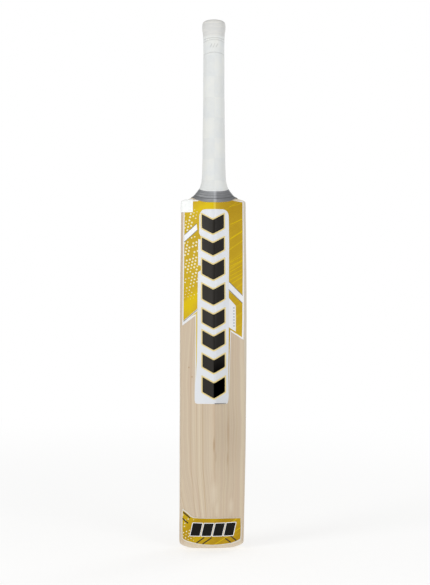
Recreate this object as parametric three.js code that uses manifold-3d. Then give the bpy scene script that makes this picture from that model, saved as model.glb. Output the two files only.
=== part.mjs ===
// Cricket bat, adult short-handle size, as an assembly of separate pieces.
//
// Frame: millimetres. +Z runs up the bat from the toe to the end of the handle. +Y points out of
// the striking face, so the back, with its spine, is on the -Y side. +X is to the right when
// looking at the back. The origin is on the axis of the handle, level with the bottom of the toe.
//
// A laminated cane handle (twelve canes and three springs) ends in a wedge that is glued into a
// V slot in the willow blade. Twine is wound over the handle and over the top of the splice, a tape
// covers the shoulder whipping, and a rubber grip is pulled over the handle. Vinyl stickers lie on
// the blade.
import * as THREE from "three";
import { mergeVertices } from "three/addons/utils/BufferGeometryUtils.js";
import Module from "manifold-3d";

const wasm = await Module();
wasm.setup();

// ---------------------------------------------------------------- heights
const TOTAL_LENGTH = 848.1; // toe to the end of the grip
const HANDLE_END = 845.4; // end of the cane, inside the grip's mouth

// Heights of the bare bat's cross sections.
const STATIONS = [
  0, 0.5, 1.3, 2.9, 4.5, 6.1, 7.9, 10.5, 20, 37, 60, 100, 140, 190, 245, 300, 350, 400, 450, 500,
  540, 553.8, 556.9, 558.5, 560.1, 561.7, 563.5, 565.6, 568.8, 572.2, 575.3, 578.4, 582, 592, 611,
  650, 700, 800, 836, HANDLE_END,
];
const stationsBetween = (low, high) => STATIONS.filter((z) => z >= low && z <= high);

// How far the cutting solids reach, well clear of the bat.
const REACH_SIDE = 80;
const REACH_DEPTH = 120;
const REACH_TOP = 900;

// ---------------------------------------------------------------- profile curves
// A monotone cubic through [position, value] rows: it never overshoots, so a straight stretch
// stays straight.
function curve(table) {
  const last = table.length - 1;
  const at = table.map((row) => row[0]);
  const value = table.map((row) => row[1]);
  const slopes = [];
  for (let i = 0; i < last; i++) slopes.push((value[i + 1] - value[i]) / (at[i + 1] - at[i]));
  const tangents = new Array(last + 1).fill(0);
  tangents[0] = slopes[0];
  tangents[last] = slopes[last - 1];
  for (let i = 1; i < last; i++) {
    if (slopes[i - 1] * slopes[i] <= 0) continue;
    const before = at[i] - at[i - 1];
    const after = at[i + 1] - at[i];
    const weightBefore = 2 * after + before;
    const weightAfter = after + 2 * before;
    tangents[i] =
      (weightBefore + weightAfter) / (weightBefore / slopes[i - 1] + weightAfter / slopes[i]);
  }
  return (position) => {
    if (position <= at[0]) return value[0];
    if (position >= at[last]) return value[last];
    let i = 0;
    while (position > at[i + 1]) i++;
    const span = at[i + 1] - at[i];
    const t = (position - at[i]) / span;
    const t2 = t * t;
    const t3 = t2 * t;
    return (
      (2 * t3 - 3 * t2 + 1) * value[i] + (t3 - 2 * t2 + t) * span * tangents[i] +
      (-2 * t3 + 3 * t2) * value[i + 1] + (t3 - t2) * span * tangents[i + 1]
    );
  };
}

// Each table's rows are [height, value].
// Half width of the bare willow and cane.
const halfWidth = curve([
  [0, 14], [0.5, 22], [1.3, 32.8], [2.9, 40.2], [4.5, 45.1], [6.1, 48.4], [7.9, 50.6],
  [10.5, 51.6], [20, 51.7], [37, 51.75], [53, 51.65], [77, 51.75], [125, 52.0], [173, 52.3],
  [222, 52.35], [270, 52.6], [318, 52.8], [342, 52.85], [380, 52.95], [415, 52.85], [463, 52.5],
  [487, 52.2], [511, 52.1], [540, 51.9], [553.8, 51.8], [556.9, 51.2], [558.5, 49.0],
  [560.1, 44.0], [561.7, 38.6], [563.5, 34.3], [565.6, 31.1], [568.8, 27.8], [572.2, 24.5],
  [575.3, 22.1], [578.4, 20.1], [582, 18.95], [592, 16.85], [601.6, 16.3], [611, 16.0],
  [630, 15.6], [650, 15.4], [669, 15.15], [689, 14.75], [708, 14.6], [727, 14.3], [800, 14.25],
  [820, 14.5], [836, 15.1], [850, 15.1],
]);
// Half depth of the round handle.
const halfDepth = curve([
  [540, 19.5], [556, 19.5], [565, 19.2], [576, 18.6], [582, 18.4], [592, 18.0], [611, 17.3],
  [650, 16.2], [689, 15.3], [727, 14.8], [800, 14.6], [820, 14.8], [836, 15.1], [850, 15.1],
]);
// Y of the face along its middle: the bow.
const faceLine = curve([
  [0, 15.8], [30, 14.0], [60, 12.4], [100, 10.8], [140, 10.0], [300, 10.0], [350, 10.9],
  [400, 12.3], [450, 14.2], [500, 16.6], [555, 19.0], [600, 19.0],
]);
// Thickness of the blade at the spine.
const spineThickness = curve([
  [0, 21.5], [8, 25.0], [16, 28.6], [30, 33.2], [60, 43], [100, 53], [150, 61], [200, 63.5],
  [250, 62], [300, 59], [350, 55], [400, 51], [450, 46.5], [500, 42.5], [530, 40.5],
  [555, 39.2], [600, 38],
]);
// Thickness of the blade at its edges.
const edgeThickness = curve([
  [0, 20], [16, 21.5], [30, 23], [60, 26.5], [100, 31.5], [150, 36], [200, 38], [250, 38],
  [300, 36.5], [350, 34], [400, 31], [450, 28], [500, 24], [555, 20.5], [600, 20.5],
]);
// Power that hollows the back between spine and edge: 1 is straight.
const concavity = curve([
  [0, 1.0], [60, 1.05], [140, 1.22], [220, 1.3], [400, 1.25], [520, 1.12], [600, 1.05],
]);
// Bluntness of the ridge, as a share of the half width.
const ridgeBluntness = curve([
  [0, 0.9], [40, 0.6], [90, 0.2], [150, 0.07], [220, 0.045], [520, 0.045], [600, 0.08],
]);

// ---------------------------------------------------------------- back and face of the blade
const FACE_FLAT_TO = 0.7; // the face is flat out to this share of the half width
const FACE_ROLL = 1.3; // how far the face falls away by the edge

// Share of the spine's rise at a share of the half width: 1 on the ridge, 0 at the edge.
function spineRise(share, z) {
  const blunt = ridgeBluntness(z);
  const fall =
    (Math.sqrt(share * share + blunt * blunt) - blunt) / (Math.sqrt(1 + blunt * blunt) - blunt);
  return Math.pow(Math.max(0, 1 - fall), concavity(z));
}
// Y of the back and of the face at a share of the half width.
function backAt(share, z) {
  const edge = edgeThickness(z);
  return faceLine(z) - edge - (spineThickness(z) - edge) * spineRise(share, z);
}
function faceAt(share, z) {
  const pastFlat = Math.max(0, (share - FACE_FLAT_TO) / (1 - FACE_FLAT_TO));
  return faceLine(z) - FACE_ROLL * Math.pow(pastFlat, 2);
}

// ---------------------------------------------------------------- cross sections
const LEAN = 3.8; // the blade runs this far to the left (-X) of the handle's axis by the toe
const LEAN_FROM = 600;
const TOE_ROUND = 2.6; // rounding of the toe, front to back
const BLEND_FROM = 556.5; // the section turns from blade to round handle between these heights
const BLEND_TO = 590;

const LAST_SHARE = 0.9; // the last share of a surface is where its rounding starts
const ROUNDING_STEPS = [0.45, 1]; // places along each rounding, as shares of its arc
// On the round handle, the roundings take up the angles between these two.
const ROUNDING_FROM = Math.asin(LAST_SHARE);
const ROUNDING_TO = THREE.MathUtils.degToRad(81);
const MAX_RADIUS_PER_WIDTH = 0.1; // limit on a rounding's radius, per half width

// side: direction along Y. shares: points from the middle to the rounding. radius: of the rounding
// between the surface and the edge. firstSlope: radians, where the search for tangency starts.
const BACK = {
  side: -1,
  surfaceAt: backAt,
  shares: [0, 0.06, 0.18, 0.36, 0.56, 0.75, LAST_SHARE],
  radius: 5.2,
  maxRadiusPerEdge: 0.25,
  firstSlope: 0.15,
};
const FACE = {
  side: 1,
  surfaceAt: faceAt,
  shares: [0, 0.3, 0.6, LAST_SHARE],
  radius: 4.6,
  maxRadiusPerEdge: 0.22,
  firstSlope: 0.1,
};

// The rounding between one surface and the edge, tangent to both.
function edgeRounding({ side, surfaceAt, radius, maxRadiusPerEdge, firstSlope }, z) {
  const width = halfWidth(z);
  const r = Math.min(radius, width * MAX_RADIUS_PER_WIDTH, edgeThickness(z) * maxRadiusPerEdge);
  const shareAt = (slope) => (width - r + r * Math.sin(slope)) / width;
  const step = 1e-4;
  let slope = firstSlope;
  for (let i = 0; i < 6; i++) {
    const share = shareAt(slope);
    const change = surfaceAt(share + step, z) - surfaceAt(share - step, z);
    slope = Math.atan(Math.abs(change) / (2 * step * width));
  }
  const share = shareAt(slope);
  return { r, slope, share, centreY: surfaceAt(share, z) - side * r * Math.cos(slope) };
}

// Points of one surface from the middle to the end of its rounding. Each point's angle is its
// place on the round handle, measured from the middle of that surface.
function quarterSection(quarter, z) {
  const { side, surfaceAt, shares } = quarter;
  const width = halfWidth(z);
  const { r, slope, share: endShare, centreY } = edgeRounding(quarter, z);
  const surfacePoints = shares.map((share) => {
    const at = (share / LAST_SHARE) * endShare;
    return { x: at * width, y: surfaceAt(at, z), angle: Math.asin(share) };
  });
  const roundingPoints = ROUNDING_STEPS.map((t) => {
    const turn = slope + (Math.PI / 2 - slope) * t;
    return {
      x: width - r + r * Math.sin(turn),
      y: centreY + side * r * Math.cos(turn),
      angle: ROUNDING_FROM + (ROUNDING_TO - ROUNDING_FROM) * t,
    };
  });
  return { points: [...surfacePoints, ...roundingPoints], centreY };
}

// Draws y in towards the middle of the edge, to round the toe.
function roundToe(y, z) {
  if (z >= TOE_ROUND) return y;
  const squash = TOE_ROUND - Math.sqrt(TOE_ROUND ** 2 - (TOE_ROUND - z) ** 2);
  const middle = (backAt(LAST_SHARE, z) + faceAt(LAST_SHARE, z)) / 2;
  return middle + Math.sign(y - middle) * Math.max(0, Math.abs(y - middle) - squash);
}

// The right half of the section, from the spine round the edge to the middle of the face.
function halfSection(z) {
  const width = halfWidth(z);
  const depth = halfDepth(z);
  const back = quarterSection(BACK, z);
  const face = quarterSection(FACE, z);
  const outline = [
    ...back.points,
    { x: width, y: (back.centreY + face.centreY) / 2, angle: Math.PI / 2 },
    ...face.points.reverse().map((p) => ({ ...p, angle: Math.PI - p.angle })),
  ];
  const blade = 1 - THREE.MathUtils.smoothstep(z, BLEND_FROM, BLEND_TO);
  const round = 1 - blade;
  return outline.map(({ x, y, angle }) => {
    const blendedX = blade * x + round * width * Math.sin(angle);
    const blendedY = blade * y + round * -depth * Math.cos(angle);
    return new THREE.Vector2(blendedX, roundToe(blendedY, z));
  });
}

// The whole section as a ring, anticlockwise seen from above, from the spine and to +X first.
function section(z) {
  const right = halfSection(z);
  const left = right.slice(1, -1).reverse().map((p) => new THREE.Vector2(-p.x, p.y));
  const shift = -LEAN * Math.max(0, 1 - z / LEAN_FROM);
  return [...right, ...left].map((p) => new THREE.Vector3(p.x + shift, p.y, z));
}

// The way out of the surface at point i of ring j, lengthened at a corner so that the faces
// around it all move out by about the same distance.
function outwardAt(rings, j, i) {
  const ring = rings[j];
  const count = ring.length;
  const point = ring[i];
  const total = new THREE.Vector3();
  const normals = [];
  for (const dj of [-1, 1]) {
    const nextRing = rings[j + dj];
    if (!nextRing) continue;
    for (const di of [-1, 1]) {
      const along = new THREE.Vector3().subVectors(ring[(i + di + count) % count], point);
      const across = new THREE.Vector3().subVectors(nextRing[i], point);
      const normal = new THREE.Vector3().crossVectors(along, across).multiplyScalar(di * dj);
      if (normal.lengthSq() < 1e-12) continue;
      normals.push(normal.normalize());
      total.add(normal);
    }
  }
  total.normalize();
  const agreement = normals.reduce((sum, normal) => sum + normal.dot(total), 0) / normals.length;
  return total.divideScalar(Math.max(0.7, agreement));
}

// ---------------------------------------------------------------- mesh and solid helpers
function toSolid(geometry) {
  const loose = geometry.index ? geometry.toNonIndexed() : geometry;
  const bare = new THREE.BufferGeometry().setAttribute("position", loose.getAttribute("position"));
  const merged = mergeVertices(bare, 1e-4);
  return new wasm.Manifold(
    new wasm.Mesh({
      numProp: 3,
      vertProperties: new Float32Array(merged.attributes.position.array),
      triVerts: new Uint32Array(merged.index.array),
    }),
  );
}

function toGeometry(solid) {
  const { numVert, numProp, vertProperties, triVerts } = solid.getMesh();
  const positions = new Float32Array(numVert * 3);
  for (let i = 0; i < numVert; i++)
    positions.set(vertProperties.subarray(i * numProp, i * numProp + 3), i * 3);
  const geometry = new THREE.BufferGeometry();
  geometry.setAttribute("position", new THREE.BufferAttribute(positions, 3));
  geometry.setIndex(new THREE.BufferAttribute(new Uint32Array(triVerts), 1));
  geometry.computeVertexNormals();
  return geometry;
}

// A closed skin through rings of equal length, each anticlockwise from above.
function loft(rings) {
  const count = rings[0].length;
  const positions = rings.flat().flatMap((p) => [p.x, p.y, p.z]);
  const triangles = [];
  for (let j = 0; j + 1 < rings.length; j++)
    for (let i = 0; i < count; i++) {
      const low = j * count + i;
      const lowNext = j * count + ((i + 1) % count);
      const high = low + count;
      const highNext = lowNext + count;
      // The diagonals mirror each other left and right.
      if (i < count / 2) triangles.push(low, lowNext, highNext, low, highNext, high);
      else triangles.push(low, lowNext, high, lowNext, highNext, high);
    }
  const addCap = (ring, first, up) => {
    const flat = ring.map((p) => new THREE.Vector2(p.x, p.y));
    for (const [a, b, c] of THREE.ShapeUtils.triangulateShape(flat, []))
      triangles.push(first + a, ...(up ? [first + b, first + c] : [first + c, first + b]));
  };
  addCap(rings[0], 0, false);
  addCap(rings[rings.length - 1], (rings.length - 1) * count, true);
  const geometry = new THREE.BufferGeometry();
  geometry.setAttribute("position", new THREE.BufferAttribute(new Float32Array(positions), 3));
  geometry.setIndex(triangles);
  return geometry;
}

// The bare bat through the stations, with its surface moved outwards by offset(z).
function skin(stations, offset = () => 0) {
  const rings = stations.map(section);
  const movedRings = rings.map((ring, j) => {
    const distance = offset(stations[j]);
    return ring.map((p, i) => p.clone().addScaledVector(outwardAt(rings, j, i), distance));
  });
  return toSolid(loft(movedRings));
}

// A wall that follows the surface between two offsets from it, for cutting to length afterwards.
const sleeve = (stations, inner, outer) => skin(stations, outer).subtract(skin(stations, inner));

// A prism through the bat's depth: the outline is drawn in X and Z.
function prism(outline, y0 = -REACH_DEPTH, y1 = REACH_DEPTH) {
  const shape = new THREE.Shape(outline.map(([x, z]) => new THREE.Vector2(x, z)));
  const options = { depth: y1 - y0, bevelEnabled: false, curveSegments: 6 };
  const geometry = new THREE.ExtrudeGeometry(shape, options);
  // Laid over so that the drawing's up is +Z and its depth runs along -Y.
  geometry.rotateX(Math.PI / 2);
  geometry.translate(0, y1, 0);
  return toSolid(geometry);
}

// A cutter between two lines of height across the bat.
const BAND_X = [-60, -50, -44, -38, -30, -22, -14, -7, 0, 7, 14, 22, 30, 38, 44, 50, 60];
function band(low, high) {
  const lower = BAND_X.map((x) => [x, low(x)]);
  const upper = BAND_X.map((x) => [x, high(x)]).reverse();
  return prism([...lower, ...upper]);
}

function slab([x0, x1], [y0, y1], [z0, z1]) {
  const geometry = new THREE.BoxGeometry(x1 - x0, y1 - y0, z1 - z0);
  geometry.translate((x0 + x1) / 2, (y0 + y1) / 2, (z0 + z1) / 2);
  return toSolid(geometry);
}

// ---------------------------------------------------------------- materials
const material = (settings) => new THREE.MeshStandardMaterial(settings);
const WILLOW = material({ color: 0xd2bf9f, roughness: 0.55 });
const CANE = material({ color: 0xc9a066, roughness: 0.6 });
const SPRING_RUBBER = material({ color: 0x2b2926, roughness: 0.8 });
const CORK = material({ color: 0xa9794a, roughness: 0.9 });
const TWINE = material({ color: 0xc8b58c, roughness: 0.85 });
const TAPE = material({ color: 0x8e9093, roughness: 0.4 });
const GRIP_RUBBER = material({ color: 0xe6e8e6, roughness: 0.6 });
const VINYL = material({ color: 0xd8b21f, roughness: 0.3 });
const PAPER = material({ color: 0xf6f8f7, roughness: 0.7 });

// ---------------------------------------------------------------- splice
const SPLICE_TIP = 424; // lowest point of the V
const SPLICE_TOP = 573; // top of the willow at the splice
const SPLICE_HALF = 22.3; // half width of the V at SPLICE_TOP
const SPLICE_GAP = 0.15; // glue line on each flank of the V, across the bat
const SPLICE_TOP_GAP = 0.2; // between the top of the willow and the cane above it

// Everything inside the V, narrowed by a gap on each flank, and everything above the given top.
function spliceCutter(flankGap, top) {
  const height = SPLICE_TOP - SPLICE_TIP;
  const tip = SPLICE_TIP + (flankGap * height) / SPLICE_HALF;
  const half = (SPLICE_HALF * (top - SPLICE_TIP)) / height - flankGap;
  return prism([
    [0, tip], [half, top], [REACH_SIDE, top], [REACH_SIDE, REACH_TOP],
    [-REACH_SIDE, REACH_TOP], [-REACH_SIDE, top], [-half, top],
  ]);
}

const bareBat = skin(STATIONS);
const willowBlade = () => bareBat.subtract(spliceCutter(0, SPLICE_TOP));
const handleCore = bareBat.intersect(spliceCutter(SPLICE_GAP, SPLICE_TOP + SPLICE_TOP_GAP));

// ---------------------------------------------------------------- canes and springs
const GLUE = 0.12; // glue line between two laminations
const SPRING = 1.5; // thickness of a spring
const SPRING_PITCH = 8; // between the middle planes of neighbouring springs, along Y
const CANE_SPLIT = 5.4; // the three canes of a layer meet at this distance either side of X = 0
const SLAB_REACH = 90;
const SLAB_HEIGHTS = [400, REACH_TOP];

// The planes that part the laminations, from the back to the face.
const LAMINATION_PLANES = [
  -SLAB_REACH,
  ...[-SPRING_PITCH, 0, SPRING_PITCH].flatMap((y) => [y - SPRING / 2, y + SPRING / 2]),
  SLAB_REACH,
];
const LAYERS = ["back", "mid_back", "mid_face", "face"];
const COLUMNS = [
  ["left", -SLAB_REACH, -CANE_SPLIT],
  ["centre", -CANE_SPLIT, CANE_SPLIT],
  ["right", CANE_SPLIT, SLAB_REACH],
];
const SPRINGS = [
  ["rubber_spring_back", SPRING_RUBBER],
  ["cork_spring_middle", CORK],
  ["rubber_spring_face", SPRING_RUBBER],
];

// Y range of a lamination: even numbers are cane layers, odd ones are springs.
const laminationDepth = (index) => [
  LAMINATION_PLANES[index] + GLUE / 2,
  LAMINATION_PLANES[index + 1] - GLUE / 2,
];
const cane = (layer, x0, x1) =>
  handleCore.intersect(
    slab([x0 + GLUE / 2, x1 - GLUE / 2], laminationDepth(2 * layer), SLAB_HEIGHTS),
  );
const spring = (index) =>
  handleCore.intersect(
    slab([-SLAB_REACH, SLAB_REACH], laminationDepth(2 * index + 1), SLAB_HEIGHTS),
  );

// ---------------------------------------------------------------- whippings and tape
const HANDLE_TWINE = { gap: 0.1, thickness: 0.8, from: 580.6, to: 842 };
const SHOULDER_TWINE_GAP = 0.12;
const SHOULDER_TWINE_TOP = 578.8;
const SHOULDER_TWINE_SWELL = 1.9; // offset of the shoulder twine's outside at its top
const TWINE_ABOVE_TAPE_FOOT = 1.2;
const TAPE_GAP = 0.12;
const TAPE_THICKNESS = 0.45;
const TAPE_BELOW_GRIP = 0.3;
const SHOULDER_STATIONS = stationsBetween(540, 592);

// Offset of the shoulder twine's outside against height: it swells towards its top.
const shoulderSwell = curve([
  [550, 0.5], [562, 0.6], [569, 1.3], [574, SHOULDER_TWINE_SWELL], [583, SHOULDER_TWINE_SWELL],
]);
// The tape's lower edge and the grip's lower edge both dip over the spine and the face.
const tapeFoot = (x) => 555 + 7.8 * Math.min(1, Math.abs(x) / 34.5) ** 2.6;
const gripHem = (x) => 572.3 + 3.2 * Math.min(1, (x / 24) ** 2);

function handleTwine() {
  const { gap, thickness, from, to } = HANDLE_TWINE;
  const wall = sleeve(stationsBetween(578, HANDLE_END), () => gap, () => gap + thickness);
  return wall.intersect(band(() => from, () => to));
}

function shoulderTwine() {
  const wall = sleeve(SHOULDER_STATIONS, () => SHOULDER_TWINE_GAP, shoulderSwell);
  const low = (x) => tapeFoot(x) + TWINE_ABOVE_TAPE_FOOT;
  return wall.intersect(band(low, () => SHOULDER_TWINE_TOP));
}

function shoulderTape() {
  const inner = (z) => shoulderSwell(z) + TAPE_GAP;
  const outer = (z) => inner(z) + TAPE_THICKNESS;
  const cut = band(tapeFoot, (x) => gripHem(x) - TAPE_BELOW_GRIP);
  return sleeve(SHOULDER_STATIONS, inner, outer).intersect(cut);
}

// ---------------------------------------------------------------- grip
const GRIP_GAP = 0.15; // between the grip and the twine under it
const GRIP_END_GAP = 0.3; // between the end of the cane and the grip
const GRIP_OVER_SHOULDER = SHOULDER_TWINE_SWELL + GRIP_GAP;
const GRIP_OVER_TWINE = HANDLE_TWINE.gap + HANDLE_TWINE.thickness + GRIP_GAP;
const MOUTH = { radius: 10.6, height: 20, middle: 855, segments: 28 }; // opening in the grip's top

// [height, offset from the bare bat] of the grip's inside and outside.
const GRIP_INSIDE = [
  [560, GRIP_OVER_SHOULDER], [579.5, GRIP_OVER_SHOULDER],
  [582.4, GRIP_OVER_TWINE], [900, GRIP_OVER_TWINE],
];
const GRIP_OUTSIDE = [
  [560, 2.75], [824, 2.75], [829, 3.35], [836, 3.75], [841, 3.55], [843.9, 2.85], [845.9, 1.6],
  [847.1, 0], [847.8, -1.9], [TOTAL_LENGTH, -3.7],
];

function gripMouth() {
  const { radius, height, middle, segments } = MOUTH;
  const cylinder = new THREE.CylinderGeometry(radius, radius, height, segments, 1);
  return toSolid(cylinder.rotateX(Math.PI / 2).translate(0, 0, middle));
}

// A sleeve with a thicker collar at its top, turned in over the end of the handle.
function rubberGrip() {
  const collarStations = GRIP_OUTSIDE.slice(1).map(([z]) => z);
  const body = skin([...stationsBetween(555, 800), ...collarStations], curve(GRIP_OUTSIDE));
  const boreStations = [...stationsBetween(555, 836), HANDLE_END + GRIP_END_GAP];
  return body
    .subtract(skin(boreStations, curve(GRIP_INSIDE)))
    .subtract(gripMouth())
    .intersect(band(gripHem, () => REACH_TOP));
}

// ---------------------------------------------------------------- stickers and label
const STICKER_GAP = 0.1; // adhesive under a sticker
const STICKER = 0.3; // vinyl
const LABEL = 0.2; // paper
const STICKER_BELOW_TAPE = 0.4;

// Outlines are [x, z].
// Two wings either side of a long central panel.
const BACK_OUTLINE = [
  [-48.1, 558.9], [-48.8, 511.0], [-49.1, 459.6], [-50.0, 399.0], [-51.2, 358.6], [-31.1, 373.9],
  [-30.9, 351.5], [-31.1, 320.0], [-31.7, 280.5], [-32.3, 249.0], [-32.3, 241.0], [-31.4, 236.6],
  [-28.8, 235.2], [-16.4, 235.5], [-2.0, 236.0], [8.7, 235.6], [17.3, 235.3], [19.5, 236.4],
  [20.6, 241.0], [21.3, 249.0], [22.8, 280.4], [24.1, 319.8], [25.1, 348.6], [45.9, 335.4],
  [46.2, 367.1], [46.4, 398.9], [46.6, 462.9], [46.8, 511.3], [46.8, 557.2],
];
// A patch across the back of the toe.
const TOE_OUTLINE = [
  [-50.9, 66.2], [-42.9, 60.7], [-37.6, 55.5], [-33.1, 53.2], [-25.5, 52.8], [-5.1, 52.9],
  [18.1, 52.3], [42.5, 50.8], [43.9, 35.4], [43.8, 19.4], [42.7, 13.1], [36.8, 10.2],
  [26.7, 7.5], [11.2, 5.7], [-4.2, 5.0], [-19.6, 6.4], [-32.6, 9.0], [-42.6, 11.5],
  [-49.5, 14.9], [-51.8, 17.6], [-52.2, 36.2], [-52.1, 56.0],
];
// A shield that points down.
const FACE_OUTLINE = [
  [-21, 404], [-24, 401], [-24, 338], [-21, 334], [0, 322], [21, 334], [24, 338], [24, 401],
  [21, 404],
];
const LABEL_OUTLINE = [
  [-REACH_SIDE, 539.6], [-34.0, 539.6], [-34.0, 557.2], [-REACH_SIDE, 557.2],
];
const LABEL_FRONT = 4; // Y where the label ends, round the left edge

// A layer that lies over the blade, for cutting to an outline.
const sheet = (stations, gap, thickness) => sleeve(stations, () => gap, () => gap + thickness);
const vinylSheet = sheet(stationsBetween(2.9, 569), STICKER_GAP, STICKER);

function backSticker() {
  const clearOfTape = band(() => 200, (x) => tapeFoot(x) - STICKER_BELOW_TAPE);
  return vinylSheet.intersect(prism(BACK_OUTLINE, -REACH_DEPTH, 0)).intersect(clearOfTape);
}
const toeSticker = () => vinylSheet.intersect(prism(TOE_OUTLINE, -REACH_DEPTH, 0));
const faceSticker = () => vinylSheet.intersect(prism(FACE_OUTLINE, 0, REACH_DEPTH));

// The blank label laps over the corner of the left shoulder, on top of the sticker's own corner.
function shoulderLabel() {
  const paper = sheet(stationsBetween(500, 569), STICKER_GAP * 2 + STICKER, LABEL);
  return paper.intersect(prism(LABEL_OUTLINE, -REACH_DEPTH, LABEL_FRONT));
}

// ---------------------------------------------------------------- assembly
function addPiece(group, name, solid, pieceMaterial) {
  const mesh = new THREE.Mesh(toGeometry(solid), pieceMaterial);
  mesh.name = name;
  group.add(mesh);
}

const bat = new THREE.Group();
const handle = new THREE.Group();
const blade = new THREE.Group();
bat.add(handle, blade);

LAYERS.forEach((layer, i) => {
  for (const [column, x0, x1] of COLUMNS)
    addPiece(handle, `cane_${layer}_${column}`, cane(i, x0, x1), CANE);
});
SPRINGS.forEach(([name, springMaterial], i) => addPiece(handle, name, spring(i), springMaterial));
addPiece(handle, "handle_twine", handleTwine(), TWINE);
addPiece(handle, "shoulder_twine", shoulderTwine(), TWINE);
addPiece(handle, "shoulder_tape", shoulderTape(), TAPE);
addPiece(handle, "rubber_grip", rubberGrip(), GRIP_RUBBER);

addPiece(blade, "willow_blade", willowBlade(), WILLOW);
addPiece(blade, "back_sticker", backSticker(), VINYL);
addPiece(blade, "toe_sticker", toeSticker(), VINYL);
addPiece(blade, "face_sticker", faceSticker(), VINYL);
addPiece(blade, "shoulder_label", shoulderLabel(), PAPER);

export default bat;
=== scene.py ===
import math

import bpy
import numpy as np
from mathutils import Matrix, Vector
from mathutils.geometry import delaunay_2d_cdt


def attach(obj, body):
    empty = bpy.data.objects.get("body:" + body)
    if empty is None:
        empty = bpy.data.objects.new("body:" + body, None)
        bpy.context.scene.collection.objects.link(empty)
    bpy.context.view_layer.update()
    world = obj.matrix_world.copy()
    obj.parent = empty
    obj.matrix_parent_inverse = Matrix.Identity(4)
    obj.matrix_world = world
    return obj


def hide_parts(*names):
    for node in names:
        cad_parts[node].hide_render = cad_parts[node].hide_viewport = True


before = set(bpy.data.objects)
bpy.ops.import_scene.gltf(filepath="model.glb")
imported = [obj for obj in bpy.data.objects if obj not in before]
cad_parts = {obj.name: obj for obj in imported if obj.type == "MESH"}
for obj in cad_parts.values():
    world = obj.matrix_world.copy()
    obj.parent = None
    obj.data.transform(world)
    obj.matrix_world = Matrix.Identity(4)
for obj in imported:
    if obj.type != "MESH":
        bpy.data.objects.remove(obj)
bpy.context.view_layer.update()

MM = 0.001
BODY = "root"

# ------------------------------------------------------------------ the bat's own surface, in mm
# The same tables and section as the CAD, read here at any height and angle so that the skin is smooth.
HALF_WIDTH = [
    (0, 14), (0.5, 22), (1.3, 32.8), (2.9, 40.2), (4.5, 45.1), (6.1, 48.4), (7.9, 50.6), (10.5, 51.6),
    (20, 51.7), (37, 51.75), (53, 51.65), (77, 51.75), (125, 52.0), (173, 52.3), (222, 52.35), (270, 52.6),
    (318, 52.8), (342, 52.85), (380, 52.95), (415, 52.85), (463, 52.5), (487, 52.2), (511, 52.1),
    (540, 51.9), (553.8, 51.8), (556.9, 51.2), (558.5, 49.0), (560.1, 44.0), (561.7, 38.6), (563.5, 34.3),
    (565.6, 31.1), (568.8, 27.8), (572.2, 24.5), (575.3, 22.1), (578.4, 20.1), (582, 18.95), (592, 16.85),
    (601.6, 16.3), (611, 16.0), (630, 15.6), (650, 15.4), (669, 15.15), (689, 14.75), (708, 14.6),
    (727, 14.3), (800, 14.25), (820, 14.5), (836, 15.1), (850, 15.1),
]
HALF_DEPTH = [
    (540, 19.5), (556, 19.5), (565, 19.2), (576, 18.6), (582, 18.4), (592, 18.0), (611, 17.3),
    (650, 16.2), (689, 15.3), (727, 14.8), (800, 14.6), (820, 14.8), (836, 15.1), (850, 15.1),
]
FACE_Y = [
    (0, 15.8), (30, 14.0), (60, 12.4), (100, 10.8), (140, 10.0), (300, 10.0), (350, 10.9), (400, 12.3),
    (450, 14.2), (500, 16.6), (555, 19.0), (600, 19.0),
]
SPINE = [
    (0, 21.5), (8, 25.0), (16, 28.6), (30, 33.2), (60, 43), (100, 53), (150, 61), (200, 63.5), (250, 62), (300, 59),
    (350, 55), (400, 51), (450, 46.5), (500, 42.5), (530, 40.5), (555, 39.2), (600, 38),
]
EDGE = [
    (0, 20), (16, 21.5), (30, 23), (60, 26.5), (100, 31.5), (150, 36), (200, 38), (250, 38), (300, 36.5),
    (350, 34), (400, 31), (450, 28), (500, 24), (555, 20.5), (600, 20.5),
]
CONCAVITY = [(0, 1.0), (60, 1.05), (140, 1.22), (220, 1.3), (400, 1.25), (520, 1.12), (600, 1.05)]
RIDGE = [(0, 0.9), (40, 0.6), (90, 0.2), (150, 0.07), (220, 0.045), (520, 0.045), (600, 0.08)]
TOE_ROUND, FLAT_TO, FACE_ROLL, EDGE_R, FACE_R = 2.6, 0.7, 1.3, 5.2, 4.6
LEAN, LEAN_FROM = 3.8, 600.0
SPLICE_TIP, SPLICE_TOP, SPLICE_HALF = 424.0, 573.0, 22.3


def curve(table):
    """A monotone cubic through a table, for numbers or arrays."""
    x = np.array([p[0] for p in table], float)
    y = np.array([p[1] for p in table], float)
    d = np.diff(y) / np.diff(x)
    m = np.zeros_like(y)
    m[0], m[-1] = d[0], d[-1]
    for i in range(1, len(x) - 1):
        if d[i - 1] * d[i] <= 0:
            continue
        a, b = x[i] - x[i - 1], x[i + 1] - x[i]
        w1, w2 = 2 * b + a, b + 2 * a
        m[i] = (w1 + w2) / (w1 / d[i - 1] + w2 / d[i])

    def f(v):
        v = np.clip(np.asarray(v, float), x[0], x[-1])
        i = np.clip(np.searchsorted(x, v, side="right") - 1, 0, len(x) - 2)
        h = x[i + 1] - x[i]
        t = (v - x[i]) / h
        t2, t3 = t * t, t * t * t
        return (
            (2 * t3 - 3 * t2 + 1) * y[i]
            + (t3 - 2 * t2 + t) * h * m[i]
            + (-2 * t3 + 3 * t2) * y[i + 1]
            + (t3 - t2) * h * m[i + 1]
        )

    return f


half_width, half_depth, face_y = curve(HALF_WIDTH), curve(HALF_DEPTH), curve(FACE_Y)
spine, edge, concavity, ridge = curve(SPINE), curve(EDGE), curve(CONCAVITY), curve(RIDGE)


def smooth(a, b, v):
    t = np.clip((np.asarray(v, float) - a) / (b - a), 0, 1)
    return t * t * (3 - 2 * t)


def lean(z):
    return -LEAN * np.clip(1 - np.asarray(z, float) / LEAN_FROM, 0, 1)


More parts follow.
